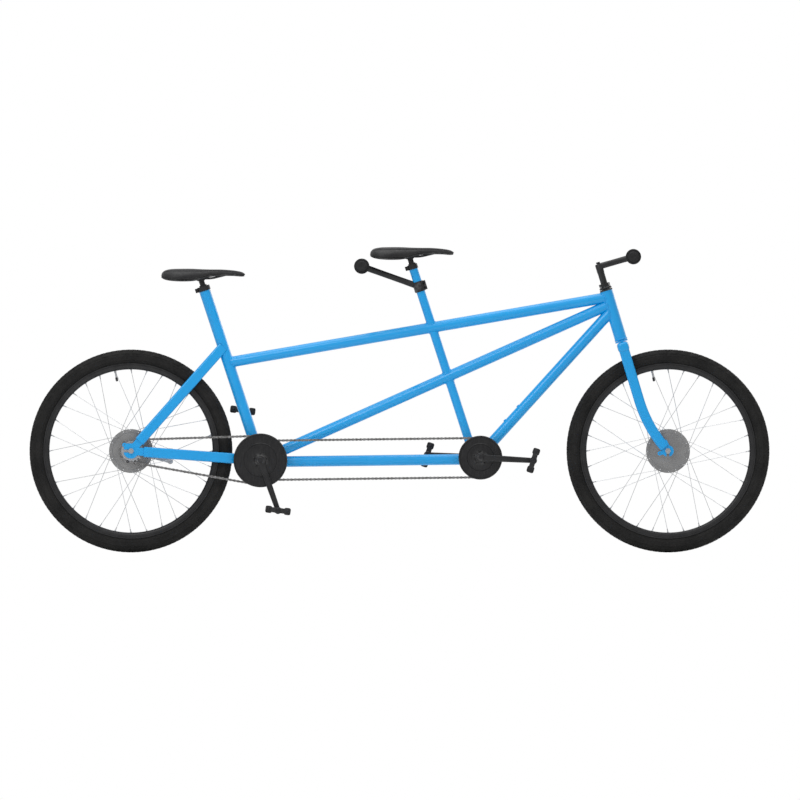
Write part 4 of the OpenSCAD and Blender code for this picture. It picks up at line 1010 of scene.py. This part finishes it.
def guard_disc(name, node, body, at):
    """A pressed disc with a rolled edge, two beads and a row of screws."""
    y = middle(node).y
    r = extent(node).z / 2
    half = extent(node).y / 2
    face = -half
    profile = [(0.016, half), (0.016, face - 0.0012), (0.026, face - 0.0012), (0.029, face),
               (r * 0.60, face), (r * 0.60 + 0.0012, face - 0.0009), (r * 0.60 + 0.0030, face - 0.0009),
               (r * 0.60 + 0.0042, face), (r - 0.0062, face), (r - 0.0048, face - 0.0011),
               (r - 0.0020, face - 0.0014), (r - 0.0005, face - 0.0006), (r, face + 0.0004),
               (r, half - 0.0003), (r - 0.0006, half + 0.0002), (r - 0.0030, half + 0.0002),
               (r - 0.0040, half - 0.0002)]
    centre = Vector((at.x, y, at.z))
    build(f"{name}_disc", Shell().add(turned(profile, centre, ACROSS, 160)), body, GLOSS, (node,))
    screws = Shell()
    for i in range(5):
        turn = radians(90 + 72 * i)
        foot = centre + Vector((0.0225 * cos(turn), face - 0.0010, 0.0225 * sin(turn)))
        screws.add(turned(dome_profile(0.0036, 0.0, 0.0022), foot, -ACROSS, 20))
    build(f"{name}_disc_screws", screws, body, GLOSS, ())


def crank_arm(shell, centre, eye, s, low, high, ring_face):
    """One forged arm: a boss, a tapering fluted blade and a pedal eye."""
    mid, half = (low + high) / 2, (high - low) / 2
    d = (eye - centre)
    d.y = 0
    d.normalize()
    normal = Vector((-d.z, 0, d.x))
    outer = -s
    path, sections = [], []
    steps = 40
    for i in range(steps + 1):
        t = i / steps
        point = centre.lerp(eye, t)
        path.append(Vector((point.x, s * mid, point.z)))
        tall = 0.0115 - 0.0030 * t + 0.0040 * max(0.0, 1 - t * 5) ** 2
        thick = half * (1.0 - 0.10 * sin(pi * t))
        dip = 0.0017 * max(0.0, min(1.0, (t - 0.15) * 9, (0.86 - t) * 9))
        loop = []
        for u, v in oval(tall, thick, 36, 3.6):
            if v * outer > thick * 0.93 and abs(u) < tall * 0.56:
                v -= outer * dip
            loop.append((u, v))
        sections.append(loop)
    shell.add(swept(path, sections, normal))
    inside = ring_face if s < 0 else low - 0.008
    boss = [(0.0085, inside), (0.0155, inside), (0.0160, inside + 0.0006), (0.0160, high - 0.0022),
            (0.0142, high - 0.0004), (0.0130, high), (0.0115, high), (0.0108, high - 0.0012),
            (0.0085, high - 0.0012)]
    shell.add(turned([(r, s * t) for r, t in boss], Vector((centre.x, 0, centre.z)), ACROSS, 64))
    ring = ring_profile(0.0070, 0.0122, low + 0.0002, high + 0.0003, 0.0020)
    shell.add(turned([(r, s * t) for r, t in ring], Vector((eye.x, 0, eye.z)), ACROSS, 48))


def cranks(name, body, at):
    node = f"{name}_crank_arms"
    high = extent(node).y / 2
    low = high - 0.013
    ring_face = -TIMING_Y - 0.0012
    shell = Shell()
    for side, s in (("right", -1), ("left", 1)):
        eye = joint_place(f"{name}_{side}_pedal_spin")
        crank_arm(shell, at, eye, s, low, high, ring_face)
    build(f"{name}_forged_cranks", shell, body, ALLOY, (node,), sharp=40)
    caps = Shell()
    for s in (-1, 1):
        cap = [(0.0, high - 0.001), (0.0112, high - 0.001), (0.0112, high + 0.0032), (0.0100, high + 0.0044),
               (0.0052, high + 0.0044), (0.0046, high + 0.0030), (0.0, high + 0.0030)]
        caps.add(turned([(r, s * t) for r, t in cap], Vector((at.x, 0, at.z)), ACROSS, 40))
    build(f"{name}_crank_caps", caps, body, GLOSS, ())


def pedal(name, side, s, tilt):
    """Two ribbed rubber blocks between end plates, on a barrel with its cap."""
    node = f"{name}_{side}_pedal"
    at = joint_place(f"{node}_spin")
    y_low, y_high = (corner.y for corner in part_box(node))
    ahead = Vector((cos(tilt), 0, sin(tilt)))
    length, block, tall, plate_t = 0.084, 0.022, 0.024, 0.004
    rubber = Shell()
    for e in (-1, 1):
        centre = at + ahead * (e * (length - block) / 2)
        path, sections = [], []
        ribs = 13
        start, end = y_low + plate_t, y_high - plate_t
        step = (end - start) / ribs
        for i in range(ribs):
            for share, grow in ((0.0, 0.0), (0.18, 1.0), (0.72, 1.0), (0.90, 0.0)):
                y = start + (i + share) * step
                path.append(Vector((centre.x, y, centre.z)))
                h = tall / 2 - 0.0016 * (1 - grow)
                w = block / 2 - 0.0007 * (1 - grow)
                sections.append(oval(w, h, 32, 4.2))
        path.append(Vector((centre.x, end, centre.z)))
        sections.append(oval(block / 2 - 0.001, tall / 2 - 0.001, 32, 4.2))
        rubber.add(swept(path, sections, ahead))
    build(f"{node}_rubbers", rubber, node, GRIP, (node,), sharp=40)
    cage = Shell()
    middle_line = Vector((at.x, 0, at.z))
    inset = 0.0002
    for y0, y1 in ((y_low, y_low + plate_t), (y_high - plate_t, y_high)):
        path = [middle_line + ACROSS * y for y in (y0 + inset, y0 + 0.0008, y1 - 0.0008, y1 - inset)]
        big = oval(length / 2, 0.0088, 56, 3.0)
        small = oval(length / 2 - 0.0008, 0.0080, 56, 3.0)
        cage.add(swept(path, [small, big, big, small], ahead))
    cage.add(turned([(0.0047, y_low + 0.003), (0.0098, y_low + 0.003), (0.0082, y_low + 0.020),
                     (0.0075, 0.5 * (y_low + y_high)), (0.0082, y_high - 0.020), (0.0098, y_high - 0.003),
                     (0.0047, y_high - 0.003)], middle_line, ACROSS, 40))
    build(f"{node}_cage", cage, node, PEDAL, ())
    bolts = Shell()
    for e in (-1, 1):
        foot = middle_line + ahead * (e * (length - block) / 2)
        for y, outward in ((y_low, -1), (y_high, 1)):
            bolts.add(turned(dome_profile(0.0040, 0.0, 0.0022), foot + ACROSS * y, ACROSS * outward, 20))
    far = y_high if s > 0 else y_low
    bolts.add(turned(dome_profile(0.0074, 0.0, 0.0026), middle_line + ACROSS * far, ACROSS * s, 28))
    build(f"{node}_bolts", bolts, node, OXIDE, ())


def drive():
    chain("drive_chain", "drive_chain", REAR_HUB, SPROCKET_TEETH, REAR_BB, DRIVE_TEETH, DRIVE_Y)
    chain("timing_chain", "timing_chain", REAR_BB, TIMING_TEETH, FRONT_BB, TIMING_TEETH, TIMING_Y)
    guard_disc("rear_guard", "rear_guard_disc", "rear_crankset", REAR_BB)
    guard_disc("front_guard", "front_guard_disc", "front_crankset", FRONT_BB)
    cranks("rear", "rear_crankset", REAR_BB)
    cranks("front", "front_crankset", FRONT_BB)
    for name, tilt in PEDAL_TILT.items():
        pedal(name, "right", -1, tilt)
        pedal(name, "left", 1, tilt)


# ---------------------------------------------------------------- saddles

SADDLE_L = extent("front_saddle").x
SADDLE_TOP = ((0.0, -0.020), (0.010, -0.008), (0.030, -0.002), (0.060, -0.001), (0.110, -0.001),
              (0.150, -0.002), (0.200, -0.003), (0.240, -0.006), (0.265, -0.010), (0.278, -0.016),
              (0.282, -0.021))
SADDLE_LOW = ((0.0, -0.030), (0.014, -0.038), (0.050, -0.043), (0.100, -0.043), (0.122, -0.040),
              (0.142, -0.034), (0.165, -0.028), (0.200, -0.0255), (0.240, -0.0255), (0.270, -0.0275),
              (0.282, -0.024))
SADDLE_HALF = ((0.0, 0.034), (0.012, 0.060), (0.030, 0.074), (0.050, 0.0785), (0.072, 0.075),
               (0.095, 0.062), (0.120, 0.045), (0.150, 0.034), (0.190, 0.0265), (0.230, 0.0225),
               (0.262, 0.0190), (0.276, 0.0130), (0.282, 0.0060))
PAD_VOXEL = 0.0048
PAD_SHRINK = 0.0030
PAD_SWELL = 0.006
PAD_FRAMES = 20
PIPING_R = 0.0013


def along_curve(table, x):
    """A smooth curve through a short list of (x, value)."""
    if x <= table[0][0]:
        return table[0][1]
    for i in range(len(table) - 1):
        (x0, v0), (x1, v1) = table[i], table[i + 1]
        if x <= x1:
            before = table[i - 1] if i else table[i]
            after = table[i + 2] if i + 2 < len(table) else table[i + 1]
            m0 = (v1 - before[1]) / (x1 - before[0])
            m1 = (after[1] - v0) / (after[0] - x0)
            h = x1 - x0
            t = (x - x0) / h
            return ((2 * t ** 3 - 3 * t ** 2 + 1) * v0 + (t ** 3 - 2 * t ** 2 + t) * h * m0
                    + (3 * t ** 2 - 2 * t ** 3) * v1 + (t ** 3 - t ** 2) * h * m1)
    return table[-1][1]


def saddle_section(x, shrink):
    """The pad's outline across the saddle at x, as (y, z)."""
    half = along_curve(SADDLE_HALF, x) - shrink
    top = along_curve(SADDLE_TOP, x) - shrink
    low = along_curve(SADDLE_LOW, x) + shrink * 0.5
    channel = 0.0030 * max(0.0, min(1.0, (x - 0.05) * 30, (0.20 - x) * 25))
    points = []
    count = 30
    for i in range(count):
        t = 2 * pi * i / count
        c, s = cos(t), sin(t)
        y = half * abs(c) ** 0.62 * (1 if c >= 0 else -1)
        if s >= 0:
            droop = 0.30 * (abs(y) / max(half, 1e-4)) ** 2.4
            z = low + (top - low) * (abs(s) ** 0.52) * (1 - droop)
            z -= channel * max(0.0, 1 - (abs(y) / 0.012) ** 2)
        else:
            z = low - 0.002 * abs(s)
        points.append((y, z))
    return points


def saddle_shell(shrink):
    stations = 46
    verts = []
    for i in range(stations):
        x = 0.0015 + (SADDLE_L - 0.003) * (0.5 - 0.5 * cos(pi * i / (stations - 1)))
        verts += [(x, y, z) for y, z in saddle_section(x, shrink)]
    count = len(verts) // stations
    faces = grid_faces(stations, count, False, True)
    faces += [tuple(range(count)), tuple(range((stations - 1) * count, stations * count))]
    return verts, faces


def inflated(mesh, cap):
    """The mesh after a pressurised cloth run, no point moved by more than cap."""
    pad = bpy.data.objects.new("pad_to_simulate", mesh)
    scene = bpy.context.scene
    scene.collection.objects.link(pad)
    bpy.context.view_layer.objects.active = pad
    pad.select_set(True)
    remesh = pad.modifiers.new("remesh", "REMESH")
    remesh.mode = "VOXEL"
    remesh.voxel_size = PAD_VOXEL
    bpy.ops.object.modifier_apply(modifier="remesh")
    rest = [v.co.copy() for v in pad.data.vertices]
    held = pad.vertex_groups.new(name="held")
    for v in pad.data.vertices:
        under = v.co.z < along_curve(SADDLE_LOW, v.co.x) + 0.006
        held.add([v.index], 1.0 if under else 0.0, "REPLACE")
    cloth = pad.modifiers.new("cloth", "CLOTH")
    cloth.settings.quality = 6
    cloth.settings.mass = 0.3
    cloth.settings.tension_stiffness = 18
    cloth.settings.compression_stiffness = 18
    cloth.settings.bending_stiffness = 2.0
    cloth.settings.use_pressure = True
    cloth.settings.uniform_pressure_force = 4.0
    cloth.settings.effector_weights.gravity = 0
    cloth.settings.vertex_group_mass = "held"
    cloth.point_cache.frame_start = 1
    cloth.point_cache.frame_end = PAD_FRAMES
    for number in range(1, PAD_FRAMES + 1):
        scene.frame_set(number)
    done = pad.evaluated_get(bpy.context.evaluated_depsgraph_get())
    moved = [v.co.copy() for v in done.data.vertices]
    pad.modifiers.remove(cloth)
    for v, start, end in zip(pad.data.vertices, rest, moved):
        step = end - start
        if step.length > cap:
            step *= cap / step.length
        v.co = start + step
    scene.frame_set(1)
    smooth = pad.modifiers.new("even", "SMOOTH")
    smooth.factor = 0.5
    smooth.iterations = 5
    bpy.ops.object.modifier_apply(modifier="even")
    finer = pad.modifiers.new("finer", "SUBSURF")
    finer.levels = 1
    bpy.ops.object.modifier_apply(modifier="finer")
    result = pad.data
    bpy.data.objects.remove(pad)
    return result


def pad_mesh():
    verts, faces = saddle_shell(PAD_SHRINK)
    mesh = bpy.data.meshes.new("pad_form")
    mesh.from_pydata(verts, [], faces)
    work = bmesh.new()
    work.from_mesh(mesh)
    bmesh.ops.recalc_face_normals(work, faces=work.faces)
    work.to_mesh(mesh)
    work.free()
    return inflated(mesh, PAD_SWELL)


def on_pad(tree, x, y, lift):
    """Where a ray from above meets the pad, raised a little off it."""
    hit = tree.ray_cast(Vector((x, y, 0.05)), Vector((0, 0, -1)))
    return None if hit[0] is None else hit[0] + hit[1] * lift


def smoothed(path, passes, closed=False):
    for _ in range(passes):
        new = list(path)
        span = range(len(path)) if closed else range(1, len(path) - 1)
        for i in span:
            new[i] = (path[i - 1] + path[i] * 2 + path[(i + 1) % len(path)]) / 4
        path = new
    return path


def pad_seams(tree):
    """Two sewn lines along the top, each between two rows of stitches."""
    seams, stitches = Shell(), Shell()
    for s in (-1, 1):
        path = []
        for i in range(90):
            x = 0.012 + 0.246 * i / 89
            y = s * along_curve(SADDLE_HALF, x) * 0.62
            point = on_pad(tree, x, y, 0.0002)
            if point:
                path.append(point)
        path = smoothed(path, 6)
        seams.add(swept(path, oval(0.0009, 0.0009, 8), Vector((0, 0, 1))))
        for side in (-1, 1):
            for a, b in zip(path[1:-1], path[2:-1]):
                ahead = b - a
                off = Vector((-ahead.y, ahead.x, 0)).normalized() * (side * 0.0032)
                p = tree.find_nearest(a.lerp(b, 0.15) + off)
                q = tree.find_nearest(a.lerp(b, 0.80) + off)
                if p[0] and q[0]:
                    rise = (p[1] + q[1]).normalized()
                    stitch = [p[0] - rise * 0.0003, p[0].lerp(q[0], 0.3) + rise * 0.0004,
                              p[0].lerp(q[0], 0.7) + rise * 0.0004, q[0] - rise * 0.0003]
                    stitches.add(swept(stitch, oval(0.00035, 0.00035, 6), rise))
    return seams, stitches


def skirt_path(lift, inset):
    """The pad's lower edge in plan, all the way round."""
    points = []
    count = 80
    for s in (1, -1):
        for i in range(count):
            t = 0.5 - 0.5 * cos(pi * i / (count - 1))
            x = 0.002 + (SADDLE_L - 0.0075) * (t if s > 0 else 1 - t)
            half = along_curve(SADDLE_HALF, x) - inset
            points.append(Vector((x, s * half, along_curve(SADDLE_LOW, x) + lift)))
    return smoothed(points, 8, True)


def placed(run, origin):
    verts, faces = run
    return [Vector(v) + origin for v in verts], faces


def saddle(name, pad, seams, piping, stitches):
    node, body = f"{name}_saddle", f"{name}_seat"
    low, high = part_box(node)
    origin = Vector((low.x, 0, high.z))
    mesh = pad.copy()
    mesh.name = f"{name}_saddle_pad"
    for v in mesh.vertices:
        v.co += origin
    mesh.materials.clear()
    mesh.materials.append(LEATHER)
    mesh.shade_smooth()
    cushion = bpy.data.objects.new(f"{name}_saddle_pad", mesh)
    bpy.context.scene.collection.objects.link(cushion)
    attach(cushion, body)
    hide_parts(node)
    trim = Shell().add(placed((seams.verts, seams.faces), origin)).add(placed(piping, origin))
    build(f"{name}_saddle_piping", trim, body, LEATHER, ())
    sewn = Shell().add(placed((stitches.verts, stitches.faces), origin))
    build(f"{name}_saddle_stitching", sewn, body, THREAD, ())
    base = Shell()
    rings = [[p + Vector((0, 0, up)) for p in skirt_path(0.0, inset)]
             for up, inset in ((0.0035, 0.0020), (-0.0008, 0.0014), (-0.0024, 0.0040),
                               (-0.0024, 0.0120), (0.0010, 0.0150))]
    verts = [p + origin for ring in rings for p in ring]
    base.add((verts, grid_faces(len(rings), len(rings[0]), True, True)))
    build(f"{name}_saddle_base", base, body, PEDAL, ())
    rails(name, origin)


def rails(name, origin):
    """Two bent rails and the clamp that holds them on the post."""
    body = f"{name}_seat"
    up = SEAT_UP[name]
    clamp = SEAT_TOPS[name] + up * 0.027
    flat_z = clamp.z - origin.z
    wires = Shell()
    for s in (-1, 1):
        points = [Vector((0.030, s * 0.030, -0.030)), Vector((0.042, s * 0.023, flat_z)),
                  Vector((0.168, s * 0.020, flat_z)), Vector((0.232, s * 0.008, -0.020))]
        path = [p + origin for p in round_corners(points, 0.014, 8)]
        wires.add(swept(path, oval(0.0035, 0.0035, 16), Vector((0, 0.3, 1))))
    build(f"{name}_bent_rails", wires, body, GLOSS, (f"{name}_saddle_rails",))
    grip = Shell()
    grip.add(turned([(0.004, -0.014), (0.0095, -0.014), (0.0110, -0.0120), (0.0110, 0.0120),
                     (0.0095, 0.014), (0.004, 0.014)], clamp, ACROSS, 48))
    for s in (-1, 1):
        wing = clamp + ACROSS * (s * 0.020)
        outline = oval(0.0150, 0.0095, 36, 3.0)
        small = oval(0.0142, 0.0087, 36, 3.0)
        ys = (-0.0058, -0.0050, 0.0050, 0.0058)
        grip.add(swept([wing + ACROSS * y for y in ys], [small, outline, outline, small], Vector((1, 0, 0))))
        nut = rod_profile(0.0058, 0.0, 0.0042, 0.0008)
        grip.add(turned(nut, wing + ACROSS * (s * 0.0056), ACROSS * s, 6))
    build(f"{name}_rail_clamp", grip, body, GLOSS, (), bevel=0.0003)


def saddles():
    pad = pad_mesh()
    form = bmesh.new()
    form.from_mesh(pad)
    tree = BVHTree.FromBMesh(form)
    seams, stitches = pad_seams(tree)
    edge = [tree.find_nearest(point)[0] for point in skirt_path(0.0045, -0.0004)]
    piping = swept(smoothed(edge, 2, True), oval(PIPING_R, PIPING_R, 10), Vector((0, 0, 1)), True)
    form.free()
    for name in ("front", "rear"):
        saddle(name, pad, seams, piping, stitches)


# ---------------------------------------------------------------- stage

VIEW_WIDTH = 2.640
ROOM_LIGHT = 0.62
VIEW_MIDDLE = Vector((0.00165, 0, 0.50325))
VIEW_AWAY = 8
FLOOR_HALF = 30.0


def area_light(name, at, aim, size, power):
    lamp = bpy.data.lights.new(name, "AREA")
    lamp.shape = "RECTANGLE"
    lamp.size, lamp.size_y = size
    lamp.energy = power
    obj = bpy.data.objects.new(name, lamp)
    bpy.context.scene.collection.objects.link(obj)
    obj.location = at
    obj.rotation_euler = (Vector(aim) - Vector(at)).to_track_quat("-Z", "Y").to_euler()


def stage_and_camera():
    scene = bpy.context.scene
    scene.view_settings.view_transform = "Standard"
    world = bpy.data.worlds.new("studio")
    scene.world = world
    world.use_nodes = True
    nodes, links = world.node_tree.nodes, world.node_tree.links
    glow = nodes["Background"]
    glow.inputs["Color"].default_value = (1, 1, 1, 1)
    seen = nodes.new("ShaderNodeLightPath")
    level = nodes.new("ShaderNodeMapRange")
    level.inputs["To Min"].default_value = ROOM_LIGHT
    level.inputs["To Max"].default_value = 1.0
    links.new(seen.outputs["Is Camera Ray"], level.inputs["Value"])
    links.new(level.outputs["Result"], glow.inputs["Strength"])
    verts = [(x * FLOOR_HALF, y * FLOOR_HALF, 0) for x, y in ((-1, -1), (1, -1), (1, 1), (-1, 1))]
    mesh = bpy.data.meshes.new("floor")
    mesh.from_pydata(verts, [], [(0, 1, 2, 3)])
    pale = Surface("floor", (0.86, 0.86, 0.86), 0.7)
    pale.rough(pale.noise(3, 3), 0.62, 0.78)
    mesh.materials.append(pale.material)
    floor_piece = bpy.data.objects.new("floor", mesh)
    scene.collection.objects.link(floor_piece)
    area_light("key", (-1.6, -3.0, 3.0), (0, 0, 0.5), (2.4, 1.6), 42)
    area_light("top", (0, 0, 4.5), (0, 0, 0), (4.0, 4.0), 90)
    area_light("fill", (2.8, 3.0, 2.4), (0, 0, 0.5), (2.4, 1.8), 30)
    lens = bpy.data.cameras.new("camera")
    lens.type = "ORTHO"
    lens.ortho_scale = VIEW_WIDTH
    lens.clip_start = 0.1
    lens.clip_end = 60
    camera = bpy.data.objects.new("camera", lens)
    scene.collection.objects.link(camera)
    camera.location = VIEW_MIDDLE - ACROSS * VIEW_AWAY
    camera.rotation_euler = (radians(90), 0, 0)
    scene.camera = camera


# ---------------------------------------------------------------- the whole

dress_cad_nodes()
wheels()
welds()
headset()
captain_stem()
stoker_stem()
for rider, bar_at, bar_body in (("captain", CAPTAIN_BAR, "stem"), ("stoker", STOKER_BAR, "frame")):
    bar(rider, bar_at, bar_body)
    grips(rider, bar_at, bar_body)
drive()
saddles()
stage_and_camera()
